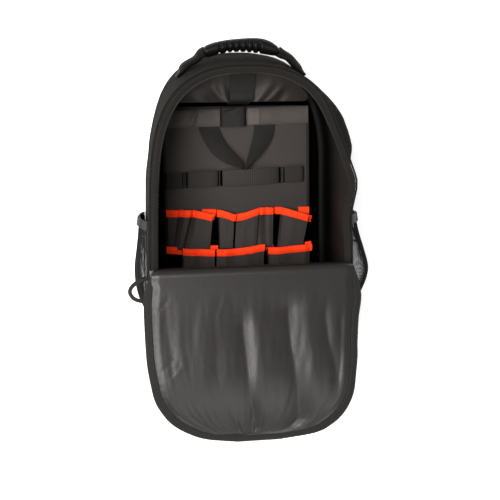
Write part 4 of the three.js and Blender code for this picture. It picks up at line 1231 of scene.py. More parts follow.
def make_walls(scene):
    wrinkle = scene.backpack_detail.wrinkle / MM
    rows = 34
    mesh = cloth_grid(lambda u, v: wall_point(u, v, rows, wrinkle), len(RING), rows, 1420, 190, True)
    thicken(mesh, WALL - 0.2, 1)
    add_piece("body_walls", mesh, ["canvas", "inner_cloth"], ["body_gusset"])

    def back(u, v):
        level = LEVELS[round(v * (len(LEVELS) - 2))]
        left = body_point(-1, *level, 0, REAR_ROUND)
        point = left.lerp(body_point(1, *level, 0, REAR_ROUND), u)
        point.z += WALL
        return point

    mesh = thicken(cloth_grid(back, 24, len(LEVELS) - 2, 300, 450), WALL, 1)
    # The back's inside takes the near-black cloth: painted shade for the deep corners beside the tool panel.
    add_piece("back_cloth", mesh, ["shade_cloth", "canvas"], ["back_panel"])

    def lower_front(u, v):
        level = mix(0, level_at_height(HINGE_UP + 2, 0), v)
        point = side_point(-1, level, 1, 0).lerp(side_point(1, level, 1, 0), u)
        point.z += GAP + FACE
        return point

    mesh = thicken(cloth_grid(lower_front, 30, 20, 310, 127), FACE)
    add_piece("lower_front", mesh, ["canvas"])

    def rim(u, v):
        point = opening_point(u, mix(RIM_WIDTH, 0, v))
        point.z += GAP + FACE
        return point

    mesh = thicken(cloth_grid(rim, 150, 3, OPENING_LENGTH, 9), FACE)
    add_piece("rim_cloth", mesh, ["canvas"], ["front_face"])


def make_rim(scene):
    detail = scene.backpack_detail

    def piping(u, v):
        centre = ring_point(u, 1, -SEAT - 1.4)
        angle = 2 * math.pi * v
        out = outward_at(centre)
        centre.z += GAP + FACE / 2
        return centre + out * (1.6 * math.cos(angle)) + Vector((0, 0, 1.6 * math.sin(angle)))

    mesh = cloth_grid(piping, len(RING), 10, 1400, 10, True)
    add_piece("front_piping", mesh, ["piping_tape"], ["rim_piping"], 180)

    def tape(u, v):
        inset = mix(RIM_WIDTH + 0.4, TAPE_MARGIN - 1.2, v)
        point = opening_point(u, inset)
        point.z += GAP + FACE + SEAT + 0.9 + 0.7 * math.sin(math.pi * v) ** 0.7
        point.z += 0.25 * noise.noise(Vector((point.x / 9, point.y / 9, 1)))
        return point

    mesh = thicken(cloth_grid(tape, 300, 8, OPENING_LENGTH, 9), 1.2)
    add_piece("rim_tape", mesh, ["canvas"], ["rim_zip_tape"])
    lift = Vector((0, 0, GAP + FACE + SEAT + 1.1))
    count = int(OPENING_LENGTH * MM / detail.tooth_pitch)
    teeth = row_of_teeth(
        lambda u: opening_point(u, COIL_INSET) + lift, lambda u: opening_point(u, COIL_INSET + 3) + lift, count
    )
    small_shapes("rim_coil", teeth, "zip_coil")
    seam = row_of_stitches(lambda u: opening_point(u, 2.6) + UP * (GAP + FACE + SEAT + 1.45), OPENING_LENGTH)
    small_shapes("rim_stitches", seam, "dark_thread")


def make_flap(scene):
    detail = scene.backpack_detail

    def padding(u, v):
        along = mix(-1, 1, v)
        side = 2 * u - 1
        soft = noise.noise(Vector((side * 5, along * 4, 1.7)))
        edge = smooth(min((1 - abs(side)) * FLAP_HALF, (1 - along) * FLAP_LENGTH) / 12)
        return flap_point(side, along, BORDER_WIDTH, GAP, -1.5 - edge * (0.5 + 0.8 * soft))

    mesh = cloth_grid(padding, 60, 110, 320, 330)
    turn_over(mesh)
    padding_piece = add_piece("flap_padding", thicken(mesh, 3.2), ["canvas"], ["flap_panel"])

    mesh = cloth_grid(lining_point, 190, 230, 312, 312)
    turn_over(mesh)
    lining = add_piece("flap_lining_cloth", thicken(mesh, 0.7), ["lining_cloth"], ["flap_lining"], 180)

    def border(u, v):
        roll = math.sin(math.pi * min(1, v * 1.15)) ** 0.6
        ripple = 0.35 * noise.noise(Vector((u * 60, v * 2, 4)))
        return border_point(u, mix(-0.4, BORDER_WIDTH + 4.2, v), 2.2 + 1.1 * roll + ripple)

    mesh = thicken(cloth_grid(border, 420, 9, 950, 11), BORDER)
    add_piece("flap_tape", mesh, ["zip_tape"], ["flap_border"], 60)
    count = int(FLAP_EDGE_LENGTH * MM / detail.tooth_pitch)
    teeth = row_of_teeth(
        lambda u: border_point(u, 0.6, 2.3), lambda u: border_point(u, 4, 2.3), count
    )
    small_shapes("flap_coil", teeth, "zip_coil")
    over = Vector((0, -0.2, 1)).normalized()
    seam = row_of_stitches(lambda u: border_point(u, BORDER_WIDTH - 1.6, 3.5), FLAP_EDGE_LENGTH, over)
    small_shapes("flap_stitches", seam, "dark_thread")


def make_slider():
    low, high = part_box("zip_slider")
    centre = (Vector(low) + Vector(high)) / 2
    size = Vector(high) - Vector(low)
    mesh = bmesh.new()
    for share, depth in ((0.14, 0.24), (0.62, 0.24)):
        plate = block(mesh, (size.x, size.y, size.z * depth), (0, 0, size.z * (share - 0.5)))
        for vert in plate:
            if vert.co.y < 0:
                vert.co.x *= 0.68
    block(mesh, (size.x * 0.3, size.y * 0.6, size.z * 0.5), (0, 0, -size.z * 0.1))
    block(mesh, (size.x * 0.34, size.y * 0.62, size.z * 0.26), (0, 0, size.z * 0.36))
    bevel(mesh, mesh.edges[:], 0.00045, 2)
    bmesh.ops.translate(mesh, vec=centre, verts=mesh.verts[:])
    add_piece("slider_body", mesh, ["slider_metal"], ["zip_slider"], 40)


def net_piece(name, side, bulge, detail):
    """A net of real strands: a grid whose faces are crossed, thinned to strands."""
    cell = detail.net_cell / MM
    columns = int((POCKET_FRONT - POCKET_REAR + bulge) / cell)
    rows = int((POCKET_TOP - POCKET_BOTTOM + bulge / 2) / cell)
    mesh = cloth_grid(lambda u, v: pocket_point(side, bulge, u, v), columns, rows, 160, 160)
    straight = mesh.edges[:]
    bmesh.ops.poke(mesh, faces=mesh.faces[:])
    inner = [edge for edge in straight if edge.is_valid and not edge.is_boundary]
    bmesh.ops.dissolve_edges(mesh, edges=inner, use_verts=False)
    bmesh.ops.wireframe(
        mesh,
        faces=mesh.faces[:],
        thickness=detail.net_strand,
        use_replace=True,
        use_boundary=True,
        use_even_offset=True,
    )
    return add_piece(name, mesh, ["net_yarn"], ["mesh_pocket_" + name.split("_")[-1]], 180)


def make_side_pockets(scene):
    detail = scene.backpack_detail
    for name, (side, bulge) in NET_SIDES.items():
        net = net_piece("side_net_" + name, side, bulge, detail)
        low = 1 - HEM_HEIGHT / (POCKET_TOP - POCKET_BOTTOM)

        def hem(u, v):
            ripple = 0.8 * math.sin(u * 75 + side) * math.sin(math.pi * min(max(u, 0), 1))
            return pocket_point(side, bulge, u, mix(low, 1.004, v), 2.6 + ripple)

        mesh = cloth_grid(hem, 150, 6, 150, 13)
        if side > 0:
            turn_over(mesh)
        hem_piece = add_piece("pocket_hem_" + name, thicken(mesh, 2.4), ["elastic"], ["mesh_hem_" + name])

        def edging(u, v):
            t = 4 * u
            if t < 1:
                spot = (0.012, mix(0.97, 0.02, t))
            elif t < 3:
                spot = (mix(0.012, 0.988, (t - 1) / 2), 0.02)
            else:
                spot = (0.988, mix(0.02, 0.97, t - 3))
            point = pocket_point(side, bulge, *spot)
            angle = 2 * math.pi * v
            out = Vector((side, 0, 0))
            inward = Vector((0, 0.7, 0.7)) if 1 <= t < 3 else Vector((0, 0.2, 1))
            return point + out * (1.3 * math.cos(angle)) + inward.normalized() * (2.6 * math.sin(angle))

        mesh = cloth_grid(edging, 160, 8, 420, 14)
        weld(mesh)
        face_out(mesh)
        tape = add_piece("pocket_edging_" + name, mesh, ["zip_tape"], angle=180)


def make_side_loop():
    def spot(reach, fall):
        up = mix(LOOP_TOP, LOOP_BOTTOM, fall)
        return Vector((wall_x(-1, up, LOOP_LEVEL) - SEAT - reach * LOOP_REACH, up, LOOP_LEVEL))

    chosen = ((0, 0), (0.5, 0.12), (0.9, 0.38), (1, 0.64), (0.8, 0.9), (0.4, 1.02), (0, 1))
    points = curve_through([spot(*pair) for pair in chosen], 60)
    directions = []
    for i in range(len(points)):
        along = step_at(points, i)
        # The tape is twisted, so that its broad side shows away from the wall.
        twist = 0.8 * smooth(math.sin(math.pi * i / (len(points) - 1)) * 1.6)
        flat = Vector((-along.y, along.x, 0)).normalized()
        directions.append(UP.lerp(flat, twist).normalized())
    mesh = strip(points, directions, 6.4, 2.0, 0.3, 6)
    face_out(mesh)
    add_piece("side_tape_loop", mesh, ["webbing_fine"], ["side_loop"], 60)


def make_handle():
    first, last = GRIP_ROWS[0]["x"], GRIP_ROWS[-1]["x"]
    steps, around = 210, 44
    depth = GRIP_DEPTH / 2

    def grip(u, v):
        x = mix(first, last, u)
        centre = grip_point(x)
        half = (GRIP_TOP(x) - GRIP_LOW(x)) / 2
        end = min(1, 0.55 + 0.45 * math.sqrt(max(0, 1 - max(0, 1 - min(x - first, last - x) / 7) ** 2)))
        angle = 2 * math.pi * v
        across, up = math.cos(angle), math.sin(angle)
        # The grooves curve round the grip's lower front and fade out before its top.
        reach = x - 5 * max(across, 0) ** 2
        groove = sum(bell((reach - spot) / 1.7) for spot in GRIP_GROOVES)
        ridge = sum(bell((reach - spot - 4.6) / 2.2) for spot in GRIP_GROOVES)
        fade = smooth((0.72 - across) / 0.4)
        scale = end * (1 - (0.27 * groove - 0.03 * ridge) * fade)
        return centre + Vector((0, across * half * scale, up * depth * scale))

    mesh = cloth_grid(grip, steps, around, 130, 70)
    weld(mesh)
    bmesh.ops.holes_fill(mesh, edges=[edge for edge in mesh.edges if edge.is_boundary], sides=0)
    face_out(mesh)
    add_piece("grip", mesh, ["grip_rubber"], ["handle_grip"], 180)
    lean = 12 * (REAR_HEIGHT - FRONT_HEIGHT) / BODY_DEPTH
    out = SEAT + 1.2 + lean
    for name, side, start, knee in (
        ("left", -1, first + 4, Vector((-71, 453, GRIP_LEVEL))),
        ("right", 1, last - 4, Vector((79, 455, GRIP_LEVEL))),
    ):
        chosen = [
            grip_point(start),
            grip_point(start + side * 3) + Vector((side * 4, -3.5, 0)),
            knee,
            arch_point(side, HANDLE_REACH - 5, GRIP_LEVEL, out + 3.4),
            arch_point(side, HANDLE_REACH + 4, GRIP_LEVEL, out),
            arch_point(side, HANDLE_REACH + 12, GRIP_LEVEL, out - 1),
        ]
        points = curve_through(chosen, 44)
        flat, ups, halves = [], [], []
        for i, point in enumerate(points):
            t = i / 44
            along = step_at(points, i)
            flat.append(Vector((-along.y, along.x, 0)).normalized())
            ups.append(UP)
            slim = mix(mix(8.2, 6.6, smooth(t / 0.35)), 2.4, smooth((t - 0.7) / 0.3))
            halves.append((slim, mix(8.0, 12.0, smooth(t / 0.4))))
        mesh = tube(points, flat, ups, halves, 28)
        add_piece("handle_webbing_" + name, mesh, ["webbing_fine"], ["handle_web_" + name], 60)


def rounded_slab(half, bottom, top, radius, level, thickness, soft):
    """A padded slab: a box with rounded corners and soft edges."""
    mesh = bmesh.new()
    bmesh.ops.create_cube(mesh, size=1.0)
    bmesh.ops.scale(mesh, vec=(2 * half * MM, (top - bottom) * MM, thickness * MM), verts=mesh.verts[:])
    upright = [e for e in mesh.edges if abs(e.verts[0].co.z - e.verts[1].co.z) > 1e-6]
    bevel(mesh, upright, radius * MM, 8)
    flat = [e for e in mesh.edges if abs(e.verts[0].co.z - e.verts[1].co.z) < 1e-6]
    bevel(mesh, flat, soft * MM, 4)
    bmesh.ops.translate(mesh, vec=place((0, (top + bottom) / 2, level + thickness / 2)), verts=mesh.verts[:])
    return mesh


def rectangle_ring(half, bottom, top, radius, u):
    """A point round a rounded rectangle, and the direction out of it."""
    corners = ((1, 1), (-1, 1), (-1, -1), (1, -1))
    spot = (u % 1) * 4
    n = int(spot) % 4
    t = spot - int(spot)
    cx, cy = corners[n]
    middle = (bottom + top) / 2
    tall = (top - bottom) / 2
    centre = Vector((cx * (half - radius), middle + cy * (tall - radius), 0))
    start = math.pi / 2 * n
    turn = 0.4
    if t < turn:
        angle = start + math.pi / 2 * (t / turn)
        out = Vector((math.cos(angle), math.sin(angle), 0))
        return centre + out * radius, out
    angle = start + math.pi / 2
    out = Vector((math.cos(angle), math.sin(angle), 0))
    nx, ny = corners[(n + 1) % 4]
    after = Vector((nx * (half - radius), middle + ny * (tall - radius), 0))
    return (centre + out * radius).lerp(after + out * radius, (t - turn) / (1 - turn)), out


def make_tool_panel():
    mesh = rounded_slab(PANEL_HALF, PANEL_BOTTOM, PANEL_TOP, PANEL_RADIUS, PANEL_FACE - PANEL_PAD, PANEL_PAD, 2.5)
    weave = mesh.loops.layers.uv.new("weave")
    for face in mesh.faces:
        for loop in face.loops:
            loop[weave].uv = (loop.vert.co.x, loop.vert.co.y)
    add_piece("tool_board", mesh, ["panel_cloth"], ["tool_panel"], 60)

    def edging(u, v):
        point, out = rectangle_ring(PANEL_HALF, PANEL_BOTTOM, PANEL_TOP, PANEL_RADIUS, u)
        angle = math.pi * (v - 0.5)
        reach = 0.9 + 0.4 * math.cos(angle) - 5.5 * v**2
        return point + out * reach + Vector((0, 0, PANEL_FACE - 3.5 + 4.0 * smooth(v * 2)))

    mesh = cloth_grid(edging, 240, 8, 1200, 9)
    weld(mesh)
    add_piece("board_edging", thicken(mesh, 0.6), ["zip_tape"], angle=60)


def make_curtain():
    mesh = cloth_grid(lambda u, v: curtain_point(2 * u - 1, 1 - v, 0), 170, 40, 230, 75)
    curtain = add_piece("hanging_lining", thicken(mesh, 0.9), ["gathered_cloth"], ["upper_lining"], 180)
    side = CENTRE_STRAP_SIDE / CURTAIN_HALF
    chosen = []
    for down in (0, 0.25, 0.5, 0.75, 1):
        y = mix(ceiling(side * CURTAIN_HALF, CURTAIN_TOP_LEVEL), CURTAIN_LOW_UP, down)
        z = mix(CURTAIN_TOP_LEVEL, CURTAIN_LOW_LEVEL, CURTAIN_FALL(down)) + CURTAIN_STRAP_LIFT
        edge = CENTRE_STRAP_SIDE + CENTRE_STRAP_WIDTH / 2
        chosen.append(Vector((CENTRE_STRAP_SIDE, min(y, ceiling(edge, z + 1.8)), z)))
    chosen[-1].y += 2
    chosen.append(Vector((CENTRE_STRAP_SIDE, CURTAIN_LOW_UP + 1, 58)))
    chosen.append(Vector((CENTRE_STRAP_SIDE, PANEL_TOP + 3.5, PANEL_FACE - 1.8)))
    points = curve_through(chosen, 60)
    mesh = strip(points, [Vector((1, 0, 0))] * len(points), CENTRE_STRAP_WIDTH, 1.6, 0.6, 10)
    face_out(mesh)
    add_piece("hanging_strap", mesh, ["webbing_fine"], ["centre_strap"], 60)


def make_band():
    def band(u, v):
        x = mix(-BAND_HALF, BAND_HALF, u)
        z = PANEL_FACE + GAP + 2.4 + 2.2 * math.sin(math.pi * v) ** 0.7
        z += 4.2 * bell((x + 76 - 8 * v) / 4.5) * math.sin(math.pi * v)
        z += 1.4 * bell((x - 29) / 9) * math.sin(math.pi * v)
        z += 0.9 * noise.noise(Vector((x / 22, v * 2, 6))) * math.sin(math.pi * v)
        return Vector((x, mix(BAND_LOW, BAND_TOP, v) + BAND_SLOPE * x, z))

    mesh = thicken(cloth_grid(band, 160, 14, 242, 29), 2.3)
    add_piece("band", mesh, ["band_cloth"], ["panel_band"], 60)
    seat = PANEL_FACE + GAP + 2 + 2.6 + SEAT
    chosen = []
    for share, rise in ((-0.5, 0), (-0.42, 0.7), (-0.2, 1), (0.2, 0.95), (0.42, 0.7), (0.5, 0)):
        x = KEEPER_SIDE + share * KEEPER_WIDTH
        chosen.append(Vector((x, (BAND_LOW + BAND_TOP) / 2 + BAND_SLOPE * x, seat + rise * KEEPER_RISE)))
    points = curve_through(chosen, 60)

    def keeper(u, v):
        point = points[round(u * 60)].copy()
        point.y += (v - 0.5) * (BAND_HEIGHT + 2)
        # A fold runs across the upper left corner.
        beside = (point.y - 368) - 0.36 * (point.x + 18.6)
        point.z += 2.2 * smooth((4 - beside) / 3.2) * math.sin(math.pi * u) - 0.4
        return point

    mesh = thicken(cloth_grid(keeper, 60, 24, 60, 31), 1.4)
    add_piece("keeper", mesh, ["webbing_fine"], ["band_keeper"], 60)

    # A paler patch of cloth lies on the band, 2.2 times as light as the panel cloth.
    def patch(u, v):
        point = band(mix(140.6, 158.5, u) / 242, mix(0.04, 0.96, v))
        point.z += 0.8
        return point

    mesh = thicken(cloth_grid(patch, 12, 14, 18, 27), 0.7)
    add_piece("band_patch", mesh, ["worn_cloth"], angle=60)
    seams = []
    for up in (BAND_LOW + 2, BAND_TOP - 2):

        def seam(u, up=up):
            x = mix(-118, 118, u)
            return Vector((x, up + BAND_SLOPE * x, PANEL_FACE + 4.2))

        seams += row_of_stitches(seam, 236)
    small_shapes("band_stitches", seams, "dark_thread")


def make_panel_handle():
    for name, over, nodes in (("left", 0.0, ["panel_handle"]), ("right", 2.6, [])):

        def leg(u, v, name=name, over=over):
            x = mix(LEG_OUT[name](u), LEG_IN[name](u), v if name == "left" else 1 - v)
            start = BAND_LOW + BAND_SLOPE * x - GAP
            # The webbing stands away from the panel, and turns on edge where the legs meet.
            rise = HANDLE_RISE * smooth(u / 0.75) + over * smooth((u - 0.4) / 0.4)
            curl = 2.2 * math.sin(math.pi * v) * smooth(u / 0.25) + 3.0 * (1 - v) * smooth((u - 0.6) / 0.3)
            y = mix(start, HANDLE_TIP_UP, u)
            return Vector((x, y, PANEL_FACE + GAP + WEBBING + rise + curl * 0.7))

        mesh = cloth_grid(leg, 70, 12, 90, 30)
        face_out(mesh)
        if sum(face.normal.z for face in mesh.faces) < 0:
            turn_over(mesh)
        add_piece("carry_leg_" + name, thicken(mesh, 1.7), ["webbing_cross"], nodes, 60)


def make_tool_webbing():
    places = []
    steps = 26
    for loop in WEBBING_LOOPS:
        for i in range(steps + 1):
            t = i / steps
            rise = loop["bulge"] * WEBBING_WIDTH * math.sin(math.pi * t) ** 0.45
            places.append((mix(loop["from"], loop["to"], t) * PANEL_HALF, rise, i in (0, steps - 1, steps)))

    def surface(u, v):
        x, rise, _ = places[round(u * (len(places) - 1))]
        y = WEBBING_UP + WEBBING_SLOPE * x + (v - 0.5) * WEBBING_WIDTH
        return Vector((x, y, PANEL_FACE + GAP + WEBBING + rise + 0.4 * math.sin(math.pi * v)))

    mesh = cloth_grid(surface, len(places) - 1, 8, 246, 26)
    # Painted shade: the faces at each loop's ends and between loops take the near-black second material.
    mark_faces(mesh, 246, [dark for _, _, dark in places])
    materials = ["panel_webbing", "shade_cloth"]
    add_piece("loop_webbing", thicken(mesh, WEBBING), materials, ["tool_webbing"], 60)
    tacks = []
    for share in (-0.978, -0.735, -0.71, -0.245, 0.61, 0.63, 0.915):
        x = share * PANEL_HALF
        for k in range(22):
            y = WEBBING_UP + WEBBING_SLOPE * x + (k / 21 - 0.5) * (WEBBING_WIDTH - 2)
            spot = Vector((x, y, PANEL_FACE + GAP + WEBBING + 0.5))
            lean = 0.5 if k % 2 else -0.5
            along = Vector((1, lean, 0)).normalized()
            across = Vector((-along.y, along.x, 0))
            tacks.append((spot, along, across, UP, (2.3, 0.6, 0.7)))
    small_shapes("webbing_tacks", tacks, "dark_thread")


def binding_place(binding, x, drop):
    """The top of a length of binding at x, and the level of what it lies on a drop below that."""
    if "ground" in binding:
        share = (x - binding["from"]) / (binding["to"] - binding["from"])
        return mix(binding["high"], binding["low"], share), PANEL_FACE + GAP + binding["ground"]
    top = MOUTHS[binding["row"]](min(max(x, binding["from"] + 0.5), binding["to"] - 0.5))
    first, last = binding["on"]
    return top, pocket_level(binding["row"], min(max(x, first), last), top + drop) + 1.4


def make_bindings():
    """Binding folded over each pocket's mouth: up the front, round the top and a little way down."""
    last = len(BINDING_SECTION) - 1
    stitches = []
    for binding in BINDINGS:
        start, stop = binding["from"], binding["to"]

        def surface(u, v, binding=binding, start=start, stop=stop):
            x = mix(start, stop, u)
            drop, out = BINDING_SECTION[round(v * last)]
            top, level = binding_place(binding, x, min(drop, -1))
            wave = 0.4 * noise.noise(Vector((x / 8, drop / 9, start)))
            return Vector((x, top + drop, level + out + wave))

        mesh = cloth_grid(surface, max(8, int((stop - start) / 1.4)), last, stop - start, 22)
        nodes = ["binding_" + binding["row"]] if binding["name"] in ("upper_1", "lower_1") else []
        add_piece("edging_" + binding["name"], thicken(mesh, 0.8), ["binding_tape"], nodes, 70)

        def seam(u, binding=binding, start=start, stop=stop):
            x = mix(start + 0.8, stop - 0.8, u)
            top, level = binding_place(binding, x, BINDING_SEAM)
            wave = 0.4 * noise.noise(Vector((x / 8, BINDING_SEAM / 9, start)))
            return Vector((x, top + BINDING_SEAM, level + 2.0 + wave))

        stitches += row_of_stitches(seam, stop - start, size=(1.0, 0.3, 0.28))
    small_shapes("edging_stitches", stitches, "binding_thread")


def make_tool_pockets():
    for name, row in POCKET_ROWS.items():
        cloth = row["cloth"]
        places = []
        for ridge in range(len(cloth) - 1):
            wide = cloth[ridge + 1]["top"] - cloth[ridge]["top"]
            steps = max(3, round(wide / 1.5))
            places += [(ridge, k / steps) for k in range(steps)]
        places.append((len(cloth) - 2, 1.0))

        def surface(u, v, name=name, places=places):
            point = pocket_cloth(name, *places[round(u * (len(places) - 1))], v)
            point.z += 1.4
            return point

        height = row["mouth"][0]["top"] - row["bottom"]
        mesh = cloth_grid(surface, len(places) - 1, 44, 246, height)
        # Painted shade: after each gap's ridge the cloth takes the near-black second material.
        mark_faces(mesh, 246, [cloth[ridge]["gap"] for ridge, _ in places])
        materials = ["panel_cloth", "shade_cloth"]
        add_piece("pockets_" + name, thicken(mesh, 1.2), materials, ["pocket_row_" + name], 50)
    make_bindings()

    def seam(u):
        y = mix(194, 146, u)
        return Vector((mix(45.6, 46, u), y, pocket_level("upper", 45.8, y) + 1.5))

    small_shapes("pocket_stitches", row_of_stitches(seam, 48), "dark_thread")


def puffed_pad(name, mesh, node, material, cap):
    """A padded piece: a slab swollen by cloth under pressure, kept near its first shape."""
    piece = from_bmesh(name, mesh)
    remesh = piece.modifiers.new("remesh", "REMESH")
    remesh.mode = "VOXEL"
    remesh.voxel_size = PUFF_VOXEL
    bake_modifiers(piece)
    low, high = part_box(node)
    rest = [vert.co.copy() for vert in piece.data.vertices]
    cloth = piece.modifiers.new("swell", "CLOTH")
    cloth.settings.use_pressure = True
    cloth.settings.uniform_pressure_force = PUFF_PRESSURE
    cloth.settings.effector_weights.gravity = 0
    cloth.settings.quality = 4
    scene = bpy.context.scene
    for moment in range(1, PUFF_FRAMES + 1):
        scene.frame_set(moment)
    bake_modifiers(piece)
    scene.frame_set(1)
    for vert, before in zip(piece.data.vertices, rest):
        move = vert.co - before
        if move.length > cap * MM:
            vert.co = before + move.normalized() * cap * MM
    for vert in piece.data.vertices:
        for axis in range(3):
            vert.co[axis] = min(max(vert.co[axis], low[axis]), high[axis])
    smoother = piece.modifiers.new("soften", "SUBSURF")
    smoother.levels = smoother.render_levels = 1
    bake_modifiers(piece)
    piece.data.shade_smooth()
    piece.data.materials.append(made(material))
    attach(piece, "root")
    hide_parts(node)
    return piece


def bake_modifiers(piece):
    """Makes a piece's modifiers part of its mesh."""
    graph = bpy.context.evaluated_depsgraph_get()
    baked = bpy.data.meshes.new_from_object(piece.evaluated_get(graph))
    piece.modifiers.clear()
    piece.data = baked


def make_back():
    for name, side in (("left", -1), ("right", 1)):
        for node, soft in (("back_pad_" + name, 4.0), ("shoulder_strap_" + name, 3.2)):
            low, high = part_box(node)
            mesh = bmesh.new()
            mesh.from_mesh(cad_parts[node].data)
            bmesh.ops.remove_doubles(mesh, verts=mesh.verts[:], dist=1e-5)
            bmesh.ops.dissolve_limit(
                mesh, angle_limit=math.radians(2), verts=mesh.verts[:], edges=mesh.edges[:]
            )
            centre = (Vector(low) + Vector(high)) / 2
            size = Vector(high) - Vector(low)
            for vert in mesh.verts:
                for axis in range(3):
                    share = 1 - 2 * 1.2 * MM / size[axis]
                    vert.co[axis] = centre[axis] + (vert.co[axis] - centre[axis]) * share
            flat = [e for e in mesh.edges if len(e.link_faces) == 2 and e.calc_face_angle(0) > math.radians(60)]
            bevel(mesh, flat, soft * MM, 3)
            puffed_pad(("pad_" if "pad" in node else "harness_") + name, mesh, node, "spacer_net", 2.0)
    mesh = rounded_slab(58.8, 27.2, 114.8, 19, 12.4, 10.2, 3.5)
    puffed_pad("pad_lumbar", mesh, "lumbar_pad", "spacer_net", 2.0)
    for name, side in (("left", -1), ("right", 1)):
        x = 75.0
        start = 112 - 36 - 2 * GAP
        seat = BACK_LEVEL - SEAT - 0.9
        chosen = [
            Vector((side * x, start + 20, 3.5)),
            Vector((side * x, start, 3.5)),
            Vector((side * (x + 6), start - 16, 3.5)),
            Vector((side * (x + 18), start - 28, mix(3.5, seat, 0.5))),
            Vector((side * (x + 34), start - 36, seat)),
            Vector((side * (x + 46), start - 41, seat)),
        ]
        points = curve_through(chosen, 50)
        slant = Vector((0.45, 0.9 * side, 0)).normalized()
        directions = [Vector((1, 0, 0)).lerp(slant, smooth(i / 30)).normalized() for i in range(51)]
        mesh = strip(points, directions, 25, 1.8, 0.2, 6)
        face_out(mesh)
        add_piece("low_webbing_" + name, mesh, ["webbing_fine"], ["strap_webbing_" + name], 60)
        make_adjuster(name)


def make_adjuster(name):
    """A ladder buckle: a rounded frame with two slots and a bar."""
    low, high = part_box("strap_adjuster_" + name)
    size = Vector(high) - Vector(low)
    centre = (Vector(low) + Vector(high)) / 2
    mesh = bmesh.new()
    for x, y, wide, tall in BUCKLE_BARS:
        block(mesh, (size.x * wide, size.y * tall, size.z * 0.62), (size.x * x, size.y * y, 0))
    bevel(mesh, mesh.edges[:], 0.0012, 2)
    bmesh.ops.translate(mesh, vec=centre, verts=mesh.verts[:])
    add_piece("ladder_buckle_" + name, mesh, ["plastic"], ["strap_adjuster_" + name], 40)


# ---- Stage ----


def area_light(name, location, target, size, power):
    """A softbox at a place, turned to what it lights."""
    data = bpy.data.lights.new(name, "AREA")
    data.shape = "RECTANGLE"
    data.size, data.size_y = size
    data.energy = power
    data.color = LIGHT_COLOUR
    light = linked(name, data)
    light.location = location
    light.rotation_mode = "QUATERNION"
    light.rotation_quaternion = (Vector(target) - Vector(location)).to_track_quat("-Z", "Y")


def make_stage(scene):
    settings = scene.backpack_stage
    eye = place(CAMERA_PLACE)
    target = place(CAMERA_TARGET)
    ahead = (target - eye).normalized()
    up = (Vector((0, 1, 0)) - ahead * ahead.y).normalized()
    right = ahead.cross(up)
    c, s = math.cos(settings.roll), math.sin(settings.roll)
    turned_right = right * c - up * s
    turned_up = right * s + up * c
    data = bpy.data.cameras.new("camera")
    data.sensor_width = 36
    data.lens = settings.lens
    camera = linked("camera", data)
    turn = Matrix((turned_right, turned_up, -ahead)).transposed()
    camera.rotation_mode = "QUATERNION"
    camera.rotation_quaternion = turn.to_quaternion()
    camera.location = eye
    scene.camera = camera

    floor = bmesh.new()
    bmesh.ops.create_grid(floor, x_segments=1, y_segments=1, size=6)
    plane = from_bmesh("floor", floor)
    material, _, shader = start_material("floor", 0.6, 0.2)
    shader.inputs["Base Color"].default_value = (*settings.floor, 1)
    # A light table, so that the bag throws hardly any shadow.
    shader.inputs["Emission Color"].default_value = (1, 1, 1, 1)
    shader.inputs["Emission Strength"].default_value = settings.glow
    plane.data.materials.append(material)

    world = bpy.data.worlds.new("room")
    world.use_nodes = True
    world.node_tree.nodes["Background"].inputs["Color"].default_value = (1, 1, 1, 1)
    world.node_tree.nodes["Background"].inputs["Strength"].default_value = settings.room
    scene.world = world
    for row in SOFTBOXES:
        power = getattr(settings, row["name"] + "_power")
        area_light(row["name"], row["place"], row["target"], row["size"], power)
    scene.view_settings.view_transform = "Standard"


# ---- Operators ----


class BACKPACK_OT_materials(bpy.types.Operator):
    """Make the bag's cloths, rubber, plastic and metal."""

    bl_idname = "backpack.materials"
    bl_label = "Materials"

    def execute(self, context):
        make_materials(context.scene)
        return {"FINISHED"}


class BACKPACK_OT_stage(bpy.types.Operator):
    """Make the floor, the lights and the camera."""

    bl_idname = "backpack.stage"
    bl_label = "Stage"

    def execute(self, context):
        make_stage(context.scene)
        return {"FINISHED"}


class BACKPACK_OT_walls(bpy.types.Operator):
    """Make the body's walls, its back and its front face."""

    bl_idname = "backpack.walls"
    bl_label = "Walls"

    def execute(self, context):
        make_walls(context.scene)
        return {"FINISHED"}


class BACKPACK_OT_rim(bpy.types.Operator):
    """Make the piping, the zip tape and its coil round the opening."""

    bl_idname = "backpack.rim"
    bl_label = "Rim"

    def execute(self, context):
        make_rim(context.scene)
        return {"FINISHED"}


class BACKPACK_OT_flap(bpy.types.Operator):
    """Make the folded front panel, its lining and its zip tape."""

    bl_idname = "backpack.flap"
    bl_label = "Flap"

    def execute(self, context):
        make_flap(context.scene)
        return {"FINISHED"}


class BACKPACK_OT_slider(bpy.types.Operator):
    """Make the zip's slider."""

    bl_idname = "backpack.slider"
    bl_label = "Slider"

    def execute(self, context):
        make_slider()
        return {"FINISHED"}


class BACKPACK_OT_side_pockets(bpy.types.Operator):
    """Make the two net pockets and their hems."""

    bl_idname = "backpack.side_pockets"
    bl_label = "Side pockets"

    def execute(self, context):
        make_side_pockets(context.scene)
        return {"FINISHED"}


class BACKPACK_OT_side_loop(bpy.types.Operator):
    """Make the tape loop on the left wall."""

    bl_idname = "backpack.side_loop"
    bl_label = "Side loop"

    def execute(self, context):
        make_side_loop()
        return {"FINISHED"}


class BACKPACK_OT_handle(bpy.types.Operator):
    """Make the ribbed grip and its webbing."""

    bl_idname = "backpack.handle"
    bl_label = "Top handle"

    def execute(self, context):
        make_handle()
        return {"FINISHED"}


class BACKPACK_OT_tool_panel(bpy.types.Operator):
    """Make the padded board inside the bag."""

    bl_idname = "backpack.tool_panel"
    bl_label = "Tool panel"

    def execute(self, context):
        make_tool_panel()
        return {"FINISHED"}


class BACKPACK_OT_curtain(bpy.types.Operator):
    """Make the gathered lining and the strap over it."""

    bl_idname = "backpack.curtain"
    bl_label = "Hanging lining"

    def execute(self, context):
        make_curtain()
        return {"FINISHED"}


